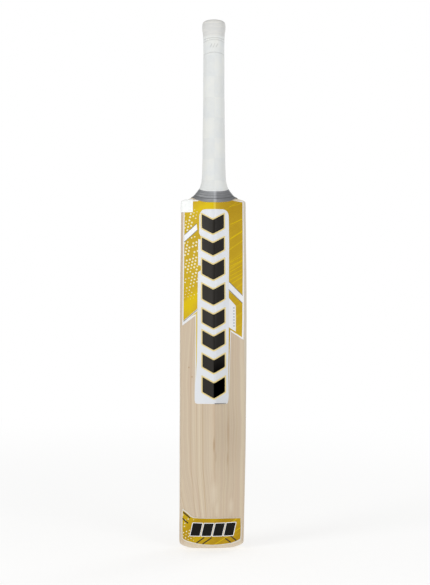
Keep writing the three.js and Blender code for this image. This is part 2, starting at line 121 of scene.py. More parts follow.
def rise(s, z):
    r = ridge(z)
    q = (np.sqrt(s * s + r * r) - r) / (np.sqrt(1 + r * r) - r)
    return np.maximum(0, 1 - q) ** concavity(z)


def back_at(s, z):
    return face_y(z) - edge(z) - (spine(z) - edge(z)) * rise(s, z)


def face_at(s, z):
    return face_y(z) - FACE_ROLL * np.maximum(0, (s - FLAT_TO) / (1 - FLAT_TO)) ** 2


def arcs(z):
    w = half_width(z)
    rb = np.minimum(np.minimum(EDGE_R, w * 0.1), edge(z) * 0.25)
    rf = np.minimum(np.minimum(FACE_R, w * 0.1), edge(z) * 0.22)
    fb, ff = 0.15 + 0 * w, 0.1 + 0 * w
    for _ in range(6):
        sb = (w - rb + rb * np.sin(fb)) / w
        fb = np.arctan(np.abs(back_at(sb + 1e-4, z) - back_at(sb - 1e-4, z)) / (2e-4 * w))
        sf = (w - rf + rf * np.sin(ff)) / w
        ff = np.arctan(np.abs(face_at(sf + 1e-4, z) - face_at(sf - 1e-4, z)) / (2e-4 * w))
    sb = (w - rb + rb * np.sin(fb)) / w
    sf = (w - rf + rf * np.sin(ff)) / w
    return w, rb, rf, fb, ff, sb, sf, back_at(sb, z) + rb * np.cos(fb), face_at(sf, z) - rf * np.cos(ff)


EDGE_FROM = math.degrees(math.asin(0.9))


def surf(theta, z):
    """The bare surface at an angle (0 on the spine, 90 on the right edge, 180 on the face) and a height."""
    theta, z = np.broadcast_arrays(np.asarray(theta, float) % 360.0, np.asarray(z, float))
    side = np.where(theta > 180, -1.0, 1.0)
    t = np.where(theta > 180, 360 - theta, theta)
    w, rb, rf, fb, ff, sb, sf, yb, yf = arcs(z)
    rad = np.radians(t)
    sin = np.sin(rad)
    s_back = sin / 0.9 * sb
    s_face = sin / 0.9 * sf
    pb = np.clip((t - EDGE_FROM) / (81 - EDGE_FROM), 0, 1)
    fi = fb + (math.pi / 2 - fb) * pb
    pe = np.clip((t - 81) / 18, 0, 1)
    pf = np.clip((180 - EDGE_FROM - t) / (81 - EDGE_FROM), 0, 1)
    fo = ff + (math.pi / 2 - ff) * pf
    x = np.select(
        [t <= EDGE_FROM, t <= 81, t <= 99, t <= 180 - EDGE_FROM],
        [s_back * w, w - rb + rb * np.sin(fi), w, w - rf + rf * np.sin(fo)],
        s_face * w,
    )
    y = np.select(
        [t <= EDGE_FROM, t <= 81, t <= 99, t <= 180 - EDGE_FROM],
        [back_at(s_back, z), yb - rb * np.cos(fi), yb + (yf - yb) * pe, yf + rf * np.cos(fo)],
        face_at(s_face, z),
    )
    k = 1 - smooth(556.5, 590, z)
    y = k * y + (1 - k) * -half_depth(z) * np.cos(rad)
    squash = np.where(
        z < TOE_ROUND, TOE_ROUND - np.sqrt(np.maximum(0, TOE_ROUND**2 - (TOE_ROUND - z) ** 2)), 0
    )
    mid = (back_at(0.9, z) + face_at(0.9, z)) / 2
    y = np.where(squash > 0, mid + np.sign(y - mid) * np.maximum(0, np.abs(y - mid) - squash), y)
    x = k * x + (1 - k) * w * sin
    return np.stack([side * x + lean(z), y, z + 0 * x], -1)


def out(theta, z):
    """The unit normal of the bare surface."""
    a = surf(theta + 0.4, z) - surf(theta - 0.4, z)
    b = surf(theta, z + 0.15) - surf(theta, np.maximum(0, z - 0.15))
    n = np.cross(a, b)
    return n / np.maximum(1e-9, np.linalg.norm(n, axis=-1, keepdims=True))


def back_point(u, z):
    """A point on the back of the blade at a distance u right of the ridge."""
    w, rb, rf, fb, ff, sb, sf, yb, yf = arcs(z)
    s = np.abs(u) / w
    e = np.clip(np.abs(u) - (w - rb), 0, rb * 0.98)
    y = np.where(s <= sb, back_at(np.minimum(s, sb), z), yb - np.sqrt(np.maximum(1e-9, rb * rb - e * e)))
    return np.stack([u + lean(z), y, z + 0 * u], -1)


def face_point(u, z):
    w, rb, rf, fb, ff, sb, sf, yb, yf = arcs(z)
    return np.stack([u + lean(z), face_at(np.minimum(np.abs(u) / w, sf), z), z + 0 * u], -1)


def sheet_normal(point, u, z):
    a = point(u + 0.2, z) - point(u - 0.2, z)
    b = point(u, z + 0.3) - point(u, z - 0.3)
    n = np.cross(a, b)
    return n / np.linalg.norm(n, axis=-1, keepdims=True)


# ------------------------------------------------------------------ mesh helpers
def add_mesh(name, verts, faces, material, angle=35, slot=None):
    me = bpy.data.meshes.new(name)
    me.from_pydata((np.asarray(verts, float).reshape(-1, 3) * MM).tolist(), [], [list(map(int, f)) for f in faces])
    me.validate()
    me.update()
    me.polygons.foreach_set("use_smooth", [True] * len(me.polygons))
    me.set_sharp_from_angle(angle=math.radians(angle))
    ob = bpy.data.objects.new(name, me)
    bpy.context.scene.collection.objects.link(ob)
    me.materials.append(material)
    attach(ob, BODY)
    return ob


def ring_faces(rows, cols, wrap_rows=False):
    """Quads between rows of rings; each ring is closed."""
    out_faces = []
    last = rows if wrap_rows else rows - 1
    for j in range(last):
        a0, b0 = j * cols, ((j + 1) % rows) * cols
        for i in range(cols):
            k = (i + 1) % cols
            out_faces.append((a0 + i, a0 + k, b0 + k, b0 + i))
    return out_faces


def solid_from_rings(rings):
    """Rings (rows, cols, 3) from low to high, closed with a flat cap at each end."""
    rows, cols = rings.shape[:2]
    faces = ring_faces(rows, cols)
    faces.append(tuple(range(cols - 1, -1, -1)))
    faces.append(tuple((rows - 1) * cols + i for i in range(cols)))
    return rings.reshape(-1, 3), faces


def shell_from_rings(outer, inner):
    """A tube wall: outer rings from low to high and inner rings from low to high, joined at both ends."""
    rings = np.concatenate([outer, inner[::-1]])
    return rings.reshape(-1, 3), ring_faces(rings.shape[0], rings.shape[1], wrap_rows=True)


def boolean(ob, cutter, operation):
    mod = ob.modifiers.new("cut", "BOOLEAN")
    mod.object, mod.operation, mod.solver = cutter, operation, "EXACT"
    bpy.context.view_layer.update()
    dg = bpy.context.evaluated_depsgraph_get()
    me = bpy.data.meshes.new_from_object(ob.evaluated_get(dg))
    ob.modifiers.clear()
    old = ob.data
    ob.data = me
    bpy.data.meshes.remove(old)
    bpy.data.objects.remove(cutter)
    me.name = ob.name


def prism_object(outline, y0=-120.0, y1=120.0):
    n = len(outline)
    verts = [(x, y0, z) for x, z in outline] + [(x, y1, z) for x, z in outline]
    faces = [tuple(range(n)), tuple(range(2 * n - 1, n - 1, -1))]
    faces += [(i, i + n, (i + 1) % n + n, (i + 1) % n) for i in range(n)]
    me = bpy.data.meshes.new("cutter")
    me.from_pydata((np.array(verts, float) * MM).tolist(), [], faces)
    me.update()
    ob = bpy.data.objects.new("cutter", me)
    bpy.context.scene.collection.objects.link(ob)
    return ob


# ------------------------------------------------------------------ draped sheets
COLUMNS = np.array(
    [0, 0.45, 0.9, 1.4, 2.1, 3.2, 4.8, 7, 10, 13, 16.5, 20, 24, 28, 32, 36, 40, 43.5, 46, 47.4, 48.4, 49.3, 50.1, 50.9, 51.6, 52.2]
)
COLUMNS = np.concatenate([-COLUMNS[:0:-1], COLUMNS])


def inside(px, pz, loops):
    """Even-odd test of points against closed loops."""
    hit = np.zeros(len(px), bool)
    for loop in loops:
        a = np.asarray(loop, float)
        b = np.roll(a, -1, axis=0)
        for (x0, z0), (x1, z1) in zip(a, b):
            if z0 == z1:
                continue
            cross = (pz > min(z0, z1)) & (pz <= max(z0, z1))
            xi = x0 + (pz - z0) * (x1 - x0) / (z1 - z0)
            hit ^= cross & (px < xi)
    return hit


def split(loop, longest=3.0):
    """A loop with points added on long edges and where an edge crosses a column."""
    pts = []
    for (x0, z0), (x1, z1) in zip(loop, loop[1:] + loop[:1]):
        ts = {0.0}
        n = max(1, math.ceil(math.hypot(x1 - x0, z1 - z0) / longest))
        ts |= {i / n for i in range(n)}
        if abs(x1 - x0) > 1e-6:
            for c in COLUMNS:
                t = (c - x0) / (x1 - x0)
                if 0.001 < t < 0.999:
                    ts.add(t)
        last = None
        for t in sorted(ts):
            p = (x0 + (x1 - x0) * t, z0 + (z1 - z0) * t)
            if last and math.hypot(p[0] - last[0], p[1] - last[1]) < 0.05:
                continue
            pts.append(p)
            last = p
    return pts


def drape(loops, low, high, row=6.0, point=back_point, raised=None):
    """Verts and faces of a closed sheet that lies on the blade, between two heights above it.
    loops are closed outlines in mm, x across the bat and z up; inner loops are holes."""
    flat = [split([(x - float(lean(z)), z) for x, z in loop]) for loop in loops]
    verts, edges = [], []
    for loop in flat:
        base = len(verts)
        verts += loop
        edges += [(base + i, base + (i + 1) % len(loop)) for i in range(len(loop))]
    rim = np.array(verts)
    lo, hi = rim.min(0), rim.max(0)
    zs = np.arange(math.ceil(lo[1] / row), math.floor(hi[1] / row) + 1) * row
    if hi[1] > 552:  # closer rows where the blade rolls over at the shoulders
        top = np.arange(551.0, 560.0, 0.9)
        zs = np.concatenate([zs[zs < 550.5], top[(top > lo[1]) & (top < hi[1])]])
    us = COLUMNS[(COLUMNS > lo[0]) & (COLUMNS < hi[0])]
    if len(zs) and len(us):
        gu, gz = [a.ravel() for a in np.meshgrid(us, zs)]
        keep = inside(gu, gz, flat)
        gu, gz = gu[keep], gz[keep]
        if len(gu):
            d = np.full(len(gu), 1e9)
            for p in rim:
                d = np.minimum(d, (gu - p[0]) ** 2 + (gz - p[1]) ** 2)
            keep = d > 0.16
            verts += list(zip(gu[keep].tolist(), gz[keep].tolist()))
    vs, es, fs, _, _, _ = delaunay_2d_cdt([Vector(v) for v in verts], edges, [], 0, 1e-5)
    p = np.array([(v[0], v[1]) for v in vs])
    tri = np.array([f for f in fs if len(f) == 3])
    mid = p[tri].mean(1)
    tri = tri[inside(mid[:, 0], mid[:, 1], flat)]
    a, b, c = p[tri[:, 0]], p[tri[:, 1]], p[tri[:, 2]]
    area = (b[:, 0] - a[:, 0]) * (c[:, 1] - a[:, 1]) - (b[:, 1] - a[:, 1]) * (c[:, 0] - a[:, 0])
    tri = tri[np.abs(area) > 1e-7]
    area = area[np.abs(area) > 1e-7]
    used = np.unique(tri)
    remap = -np.ones(len(p), int)
    remap[used] = np.arange(len(used))
    p, tri = p[used], remap[tri]
    # From outside the back, x to the right and z up go anticlockwise.
    tri = np.where((area > 0)[:, None], tri, tri[:, ::-1])
    if point is face_point:
        tri = tri[:, ::-1]
    base = point(p[:, 0], p[:, 1])
    n = sheet_normal(point, p[:, 0], p[:, 1])
    n = n * np.where((n[:, 1:2] < 0) == (point is not face_point), 1.0, -1.0)
    extra = raised(p[:, 0], p[:, 1])[:, None] if raised else 0.0
    top = base + n * (high + extra)
    bottom = base + n * (low + extra * 0.9)
    count = len(p)
    faces = [tuple(t) for t in tri] + [tuple(t[::-1] + count) for t in tri]
    seen = {}
    for t in tri:
        for i in range(3):
            seen[(t[i], t[(i + 1) % 3])] = True
    for i, j in list(seen):
        if (j, i) not in seen:
            faces.append((j, i, i + count, j + count))
    return np.concatenate([top, bottom]), faces


def join(parts):
    verts, faces, base = [], [], 0
    for v, f in parts:
        verts.append(v)
        faces += [tuple(i + base for i in face) for face in f]
        base += len(v)
    return np.concatenate(verts), faces


def stroke(a, b, width, ends=(1.0, 1.0)):
    """The outline of a straight line with a width at each end."""
    (x0, z0), (x1, z1) = a, b
    length = math.hypot(x1 - x0, z1 - z0)
    nx, nz = -(z1 - z0) / length * width / 2, (x1 - x0) / length * width / 2
    return [
        (x0 + nx * ends[0], z0 + nz * ends[0]), (x0 - nx * ends[0], z0 - nz * ends[0]),
        (x1 - nx * ends[1], z1 - nz * ends[1]), (x1 + nx * ends[1], z1 + nz * ends[1]),
    ]


def grow(loop, d):
    """A polygon moved outwards by d, with mitred corners."""
    pts = np.array(loop, float)
    n = len(pts)
    area = 0.5 * sum(pts[i][0] * pts[(i + 1) % n][1] - pts[(i + 1) % n][0] * pts[i][1] for i in range(n))
    sign = 1 if area > 0 else -1
    res = []
    for i in range(n):
        e1 = pts[i] - pts[i - 1]
        e2 = pts[(i + 1) % n] - pts[i]
        n1 = sign * np.array([e1[1], -e1[0]]) / np.linalg.norm(e1)
        n2 = sign * np.array([e2[1], -e2[0]]) / np.linalg.norm(e2)
        m = n1 + n2
        m /= np.linalg.norm(m)
        c = max(0.55, float(m @ n1))
        res.append(tuple(pts[i] + m * d / c))
    return res


def rounded(loop, radius, steps=3):
    """A polygon with its corners rounded."""
    pts = [np.array(p, float) for p in loop]
    res = []
    for i, p in enumerate(pts):
        a, b = pts[i - 1] - p, pts[(i + 1) % len(pts)] - p
        la, lb = np.linalg.norm(a), np.linalg.norm(b)
        r = min(radius, la * 0.45, lb * 0.45)
        s, e = p + a / la * r, p + b / lb * r
        for k in range(steps + 1):
            t = k / steps
            res.append(tuple((1 - t) ** 2 * s + 2 * t * (1 - t) * p + t * t * e))
    return res


def disc(cx, cz, r, low, high, sides=12, point=back_point):
    """A small printed dot on the blade."""
    ang = np.arange(sides) * 2 * math.pi / sides
    x = np.concatenate([[cx], cx + r * np.cos(ang)])
    z = np.concatenate([[cz], cz + r * np.sin(ang)])
    u = x - lean(z)
    base = point(u, z)
    n = sheet_normal(point, u, z)
    n = n * np.where((n[:, 1:2] < 0) == (point is not face_point), 1.0, -1.0)
    top, bottom = base + n * high, base + n * low
    faces = []
    c = sides + 1
    for i in range(sides):
        j = (i + 1) % sides
        faces.append((0, 1 + i, 1 + j))
        faces.append((c, c + 1 + j, c + 1 + i))
        faces.append((1 + j, 1 + i, c + 1 + i, c + 1 + j))
    if point is face_point:
        faces = [f[::-1] for f in faces]
    return np.concatenate([top, bottom]), faces


# ------------------------------------------------------------------ materials
def lin(*rgb):
    """A colour given as 0 to 255 on screen, as linear light."""
    return tuple(
        (c / 255 / 12.92) if c / 255 <= 0.04045 else ((c / 255 + 0.055) / 1.055) ** 2.4 for c in rgb
    ) + (1.0,)


class Nodes:
    """A short way to write a material's node tree."""

    def __init__(self, name):
        self.material = bpy.data.materials.new(name)
        self.material.use_nodes = True
        self.tree = self.material.node_tree
        self.bsdf = self.tree.nodes["Principled BSDF"]
        self.position = self.add("ShaderNodeTexCoord").outputs["Object"]

    def add(self, kind, **props):
        node = self.tree.nodes.new(kind)
        for key, value in props.items():
            setattr(node, key, value)
        return node

    def link(self, a, b):
        self.tree.links.new(a, b)

    def put(self, socket, value):
        if isinstance(value, bpy.types.NodeSocket):
            self.link(value, socket)
        else:
            socket.default_value = value

    def math(self, op, a, b=0.0, c=None, clamp=False):
        node = self.add("ShaderNodeMath", operation=op, use_clamp=clamp)
        self.put(node.inputs[0], a)
        self.put(node.inputs[1], b)
        if c is not None:
            self.put(node.inputs[2], c)
        return node.outputs[0]

    def split(self, vector):
        node = self.add("ShaderNodeSeparateXYZ")
        self.link(vector, node.inputs[0])
        return node.outputs[0], node.outputs[1], node.outputs[2]

    def vec(self, x, y, z):
        node = self.add("ShaderNodeCombineXYZ")
        for s, v in zip(node.inputs, (x, y, z)):
            self.put(s, v)
        return node.outputs[0]

    def scaled(self, sx, sy, sz, vector=None):
        node = self.add("ShaderNodeVectorMath", operation="MULTIPLY")
        self.link(vector or self.position, node.inputs[0])
        node.inputs[1].default_value = (sx, sy, sz)
        return node.outputs[0]

    def noise(self, vector, scale=1.0, detail=2.0, rough=0.5, distort=0.0):
        node = self.add("ShaderNodeTexNoise")
        self.link(vector, node.inputs["Vector"])
        node.inputs["Scale"].default_value = scale
        node.inputs["Detail"].default_value = detail
        node.inputs["Roughness"].default_value = rough
        node.inputs["Distortion"].default_value = distort
        return node.outputs["Fac"]

    def noise1(self, w, scale=1.0, detail=2.0, rough=0.5):
        node = self.add("ShaderNodeTexNoise", noise_dimensions="1D")
        self.put(node.inputs["W"], w)
        node.inputs["Scale"].default_value = scale
        node.inputs["Detail"].default_value = detail
        node.inputs["Roughness"].default_value = rough
        return node.outputs["Fac"]

    def voronoi(self, vector, scale=1.0, feature="F1", randomness=1.0):
        node = self.add("ShaderNodeTexVoronoi", feature=feature)
        self.link(vector, node.inputs["Vector"])
        node.inputs["Scale"].default_value = scale
        node.inputs["Randomness"].default_value = randomness
        return node.outputs["Distance"]

    def ramp(self, value, *stops, interpolation="LINEAR"):
        node = self.add("ShaderNodeValToRGB")
        self.put(node.inputs[0], value)
        ramp = node.color_ramp
        ramp.interpolation = interpolation
        while len(ramp.elements) < len(stops):
            ramp.elements.new(0.5)
        for element, (at, colour) in zip(ramp.elements, stops):
            element.position = at
            element.color = colour if isinstance(colour, tuple) else (colour, colour, colour, 1)
        return node.outputs["Color"]

    def span(self, value, a, b, c=0.0, d=1.0, smoothly=True):
        node = self.add("ShaderNodeMapRange", interpolation_type="SMOOTHSTEP" if smoothly else "LINEAR")
        self.put(node.inputs["Value"], value)
        for key, v in (("From Min", a), ("From Max", b), ("To Min", c), ("To Max", d)):
            self.put(node.inputs[key], v)
        return node.outputs["Result"]

    def mix(self, factor, a, b, blend="MIX"):
        node = self.add("ShaderNodeMix", data_type="RGBA", blend_type=blend)
        self.put(node.inputs[0], factor)
        self.put(node.inputs[6], a)
        self.put(node.inputs[7], b)
        return node.outputs[2]

    def attribute(self, name):
        return self.add("ShaderNodeAttribute", attribute_name=name).outputs["Fac"]

    def bump(self, height, distance, strength=1.0):
        node = self.add("ShaderNodeBump")
        self.link(height, node.inputs["Height"])
        node.inputs["Distance"].default_value = distance
        node.inputs["Strength"].default_value = strength
        self.link(node.outputs["Normal"], self.bsdf.inputs["Normal"])

    def ridge_side(self, width=0.0012, shift=0.0):
        """0 left of the blade's ridge and 1 right of it; shift moves the change to the left."""
        x, y, z = self.split(self.position)
        lean_ = self.math("MULTIPLY", self.math("SUBTRACT", 1.0, self.math("DIVIDE", z, LEAN_FROM * MM)), LEAN * MM)
        return self.span(self.math("ADD", x, lean_), -width / 2 - shift, width / 2 - shift)

    def finish(self, colour, roughness, coat=0.0, coat_rough=0.1, sheen=0.0, specular=0.5, tint=None):
        if tint:
            self.bsdf.inputs["Specular Tint"].default_value = tint
        self.put(self.bsdf.inputs["Base Color"], colour)
        self.put(self.bsdf.inputs["Roughness"], roughness)
        self.bsdf.inputs["Coat Weight"].default_value = coat
        self.bsdf.inputs["Coat Roughness"].default_value = coat_rough
        self.bsdf.inputs["Sheen Weight"].default_value = sheen
        self.bsdf.inputs["Specular IOR Level"].default_value = specular
        return self.material


def willow():
    n = Nodes("willow_oiled")
    x, y, z = n.split(n.position)
    # Growth rings stand across the blade; they lean on the left flank, so the lines drift near the toe.
    left = n.span(x, 0.012, -0.030)
    toeward = n.math("MULTIPLY", n.math("MAXIMUM", n.math("SUBTRACT", 0.13, z), 0.0), -0.12)
    tilt = n.math("MULTIPLY", n.math("ADD", n.math("MULTIPLY", n.math("ADD", y, 0.050), -1.0), toeward), left)
    wander = n.math("MULTIPLY", n.math("SUBTRACT", n.noise(n.scaled(16, 16, 7), 1, 3, 0.55), 0.5), 0.014)
    r = n.math("ADD", n.math("ADD", x, tilt), wander)
    broad = n.noise1(r, 105, 1.5, 0.5)
    medium = n.noise1(n.math("ADD", r, 3.1), 330, 2, 0.55)
    thin = n.noise1(n.math("ADD", r, 7.7), 1400, 2, 0.6)
    fibre = n.noise(n.scaled(1500, 1500, 34), 1, 3, 0.6)
    pores = n.span(n.noise(n.scaled(2600, 2600, 160), 1, 1, 0.5), 0.64, 0.78)
    patch = n.noise(n.scaled(24, 24, 7), 1, 3, 0.6)
    colour = n.ramp(
        broad,
        (0.28, lin(197, 176, 149)),
        (0.42, lin(207, 191, 166)),
        (0.50, lin(200, 182, 159)),
        (0.60, lin(211, 197, 171)),
        (0.72, lin(195, 173, 146)),
    )
    colour = n.mix(n.span(medium, 0.52, 0.76, 0, 0.24), colour, lin(188, 162, 130))
    colour = n.mix(n.span(medium, 0.44, 0.24, 0, 0.22), colour, lin(222, 209, 185))
    colour = n.mix(n.span(thin, 0.55, 0.8, 0, 0.08), colour, lin(172, 144, 112))
    colour = n.mix(n.span(fibre, 0.5, 0.85, 0, 0.08), colour, lin(166, 138, 106))
    colour = n.mix(n.math("MULTIPLY", pores, 0.06), colour, lin(150, 122, 92))
    colour = n.mix(n.span(patch, 0.42, 0.70, 0, 0.34), colour, lin(205, 180, 156))

    # Growth lines, about nine millimetres apart, plainest on the face.
    year = n.math("ADD", n.math("MULTIPLY", r, 1 / 0.0092), n.math("MULTIPLY", n.noise1(r, 60, 1), 1.1))
    near = n.math("ABSOLUTE", n.math("SUBTRACT", n.math("FRACT", year), 0.5))
    line = n.span(near, 0.11, 0.015)
    colour = n.mix(n.math("MULTIPLY", line, n.span(y, -0.01, 0.006, 0.08, 0.36)), colour, lin(160, 124, 84))

    # Single pale and tan streaks lean less than the rings do.
    rs = n.math("ADD", x, n.math("ADD", n.math("MULTIPLY", tilt, 0.4), n.math("MULTIPLY", wander, 0.2)))

    def streak(at, width, low, high, power):
        d = n.math("DIVIDE", n.math("ABSOLUTE", n.math("SUBTRACT", rs, at)), width)
        along = n.math("MULTIPLY", n.span(z, low - 0.03, low + 0.02), n.span(z, high + 0.03, high - 0.02))
        return n.math("MULTIPLY", n.math("MULTIPLY", n.span(d, 1.0, 0.2), along), power)

    pale = n.math("MAXIMUM", streak(-0.0295, 0.0032, 0.04, 0.25, 0.34), streak(-0.0410, 0.0034, 0.05, 0.25, 0.20))
    pale = n.math("MAXIMUM", pale, streak(-0.0090, 0.0034, 0.12, 0.235, 0.22))
    colour = n.mix(pale, colour, lin(224, 211, 186))
    tan = n.math("MAXIMUM", streak(-0.0222, 0.0020, 0.05, 0.25, 0.36), streak(-0.0349, 0.0015, 0.04, 0.27, 0.28))
    tan = n.math("MAXIMUM", tan, streak(-0.0452, 0.0015, 0.04, 0.33, 0.28))
    tan = n.math("MAXIMUM", tan, streak(0.0215, 0.0016, 0.12, 0.235, 0.30))
    colour = n.mix(tan, colour, lin(176, 144, 104))
    # A brown fleck on the ridge, a faint stained line on the right flank and two pin knots.
    def spot(cx, cz, rx, rz, power=1.0):
        dx = n.math("DIVIDE", n.math("SUBTRACT", x, cx), rx)
        dz = n.math("DIVIDE", n.math("SUBTRACT", z, cz), rz)
        d = n.math("SQRT", n.math("ADD", n.math("MULTIPLY", dx, dx), n.math("MULTIPLY", dz, dz)))
        return n.math("MULTIPLY", n.span(d, 1.0, 0.15), power)

    back = n.span(y, 0.004, -0.004)
    light = n.math("MAXIMUM", spot(-0.0015, 0.0915, 0.0085, 0.030, 0.50), spot(0.0025, 0.068, 0.0045, 0.020, 0.50))
    light = n.math("MAXIMUM", light, spot(0.0262, 0.071, 0.0055, 0.020, 0.50))
    light = n.math("MULTIPLY", light, n.span(patch, 0.35, 0.60, 0.6, 1.0))
    colour = n.mix(n.math("MULTIPLY", light, back), colour, lin(224, 212, 190))
    marks = spot(-0.0026, 0.1715, 0.0024, 0.018, 0.5)
    marks = n.math("MAXIMUM", marks, spot(0.0003, 0.152, 0.0024, 0.014, 0.24))
    marks = n.math("MAXIMUM", marks, spot(-0.0414, 0.2922, 0.0017, 0.0021, 0.6))
    marks = n.math("MAXIMUM", marks, spot(-0.0364, 0.2774, 0.0019, 0.0022, 0.55))
    marks = n.math("MAXIMUM", marks, spot(0.0200, 0.190, 0.0030, 0.034, 0.28))
    marks = n.math("MAXIMUM", marks, spot(0.0195, 0.148, 0.0022, 0.016, 0.34))
    colour = n.mix(n.math("MULTIPLY", marks, back), colour, lin(156, 118, 72))
    # Handling: slightly greyer in scattered patches.
    grime = n.noise(n.scaled(30, 30, 9), 1, 3, 0.6)
    colour = n.mix(n.span(grime, 0.55, 0.8, 0, 0.12), colour, lin(176, 158, 134))
    # Painted shade: the flank right of the ridge is painted a little darker and pinker. A painted highlight makes its
    # rolled edge lighter and greyer.
    right = n.math("MULTIPLY", n.ridge_side(0.003), n.span(y, 0.004, -0.004))
    right = n.math("MULTIPLY", right, n.math("MULTIPLY", n.span(z, 0.26, 0.17, 0.45, 1.0), n.span(x, 0.044, 0.032, 0.45, 1.0)))
    colour = n.mix(n.math("MULTIPLY", right, n.span(z, 0.10, 0.20, 0.10, 0.32)), colour, lin(166, 146, 122))
    # Painted highlight on the rolled right edge, where its normal still faces the back.
    rolled = n.split(n.add("ShaderNodeNewGeometry").outputs["Normal"])[1]
    edge = n.math("MULTIPLY", n.span(x, 0.0455, 0.049), n.span(z, 0.25, 0.33, 0.45, 0.85))
    edge = n.math("MULTIPLY", edge, n.span(rolled, -0.02, -0.30))
    colour = n.mix(edge, colour, lin(206, 199, 181))
    # The sanded toe and the cut shoulders are paler: partly their bare end grain, partly painted light where these
    # surfaces face the floor and the lights above.
    pale_end_and_light = n.math("MAXIMUM", n.span(z, 0.016, 0.002, 0, 0.55), n.span(z, 0.5545, 0.5585, 0, 0.7))
    colour = n.mix(pale_end_and_light, colour, lin(228, 218, 200))
    rough = n.span(fibre, 0.2, 0.8, 0.46, 0.60)
    n.bump(n.math("ADD", fibre, n.math("MULTIPLY", thin, 0.7)), 0.00008, 0.35)
    return n.finish(colour, rough, coat=0.12, coat_rough=0.35, specular=0.4)


def cane():
    n = Nodes("cane_sanded")
    # Rattan: straight bundles of vessels, so the sides show streaks and the sawn end shows pores.
    vessels = n.voronoi(n.scaled(1150, 1150, 9), 1)
    tone = n.noise(n.scaled(160, 160, 6), 1, 3, 0.6)
    broad = n.noise(n.scaled(45, 45, 3), 1, 2)
    colour = n.ramp(tone, (0.3, lin(176, 131, 76)), (0.55, lin(205, 164, 104)), (0.75, lin(219, 184, 128)))
    colour = n.mix(n.span(broad, 0.4, 0.7, 0, 0.35), colour, lin(160, 112, 60))
    colour = n.mix(n.span(vessels, 0.30, 0.06, 0, 0.75), colour, lin(92, 58, 30))
    n.bump(vessels, 0.00012, 0.5)
    return n.finish(colour, n.span(tone, 0.2, 0.8, 0.5, 0.72), coat=0.05, specular=0.35)


def spring_rubber():
    n = Nodes("spring_rubber_sheet")
    grain = n.noise(n.scaled(900, 900, 500), 1, 3, 0.6)
    colour = n.mix(n.span(grain, 0.35, 0.75), lin(34, 31, 28), lin(66, 60, 54))
    n.bump(grain, 0.00006, 0.5)
    return n.finish(colour, n.span(grain, 0.3, 0.7, 0.7, 0.9), specular=0.3)


def cork():
    n = Nodes("cork_sheet")
    cells = n.voronoi(n.scaled(900, 900, 700), 1)
    dark = n.noise(n.scaled(380, 380, 300), 1, 3, 0.65)
    colour = n.ramp(cells, (0.1, lin(120, 78, 44)), (0.45, lin(176, 128, 80)), (0.8, lin(198, 154, 104)))
    colour = n.mix(n.span(dark, 0.6, 0.72, 0, 0.7), colour, lin(74, 46, 27))
    n.bump(cells, 0.00015, 0.6)
    return n.finish(colour, n.span(dark, 0.3, 0.7, 0.8, 0.95), specular=0.25)


def twine():
    n = Nodes("waxed_twine")
    x, y, z = n.split(n.position)
    turn = n.math("FRACT", n.math("MULTIPLY", z, 1 / 0.0011))
    round_ = n.math("SINE", n.math("MULTIPLY", turn, math.pi))
    ply = n.noise(n.scaled(700, 700, 2200), 1, 2, 0.6)
    # Painted shade in the grooves between turns: each turn is dark at its edges and light on its crown.
    colour = n.mix(n.span(round_, 0.0, 0.6), lin(116, 96, 62), lin(204, 188, 148))
    colour = n.mix(n.span(ply, 0.45, 0.75, 0, 0.4), colour, lin(162, 142, 104))
    n.bump(n.math("ADD", round_, n.math("MULTIPLY", ply, 0.3)), 0.0004, 0.8)
    return n.finish(colour, n.span(ply, 0.3, 0.7, 0.6, 0.85), sheen=0.15)


def grip_rubber():
    n = Nodes("grip_rubber_white")
    x, y, z = n.split(n.position)
    cavity_shade = n.attribute("cavity_shade")
    knob = n.attribute("knob")
    mottle = n.noise(n.scaled(60, 60, 45), 1, 4, 0.6)
    speck = n.noise(n.scaled(900, 900, 900), 1, 2, 0.6)
    colour = n.mix(n.span(mottle, 0.35, 0.7), lin(229, 230, 226), lin(223, 226, 226))
    bands = n.noise(n.scaled(34, 34, 230), 1, 3, 0.6)
    knob_tone = n.mix(n.span(bands, 0.4, 0.62), lin(211, 211, 209), lin(221, 220, 215))
    ribbed = n.attribute("ribbed")
    colour = n.mix(n.math("MULTIPLY", ribbed, 0.35), colour, lin(219, 222, 223))
    # Painted shade on the right side of the grip and of its knob.
    right_side_shade = n.span(x, 0.006, 0.019, 0, 0.28)
    colour = n.mix(right_side_shade, colour, lin(190, 193, 194))
    knob_tone = n.mix(right_side_shade, knob_tone, lin(168, 168, 166))
    colour = n.mix(n.math("MULTIPLY", knob, 0.85), colour, knob_tone)
    # Painted shade in the grooves, seams, rib hollows and moulded dashes.
    colour = n.mix(n.span(cavity_shade, 0.0, 1.0, 0, 0.55), colour, lin(158, 158, 154))
    colour = n.mix(n.span(speck, 0.6, 0.8, 0, 0.10), colour, lin(196, 196, 190))
    n.bump(n.math("ADD", n.math("MULTIPLY", speck, 0.7), mottle), 0.00008, 0.35)
    return n.finish(colour, n.span(mottle, 0.3, 0.7, 0.55, 0.7), specular=0.25)


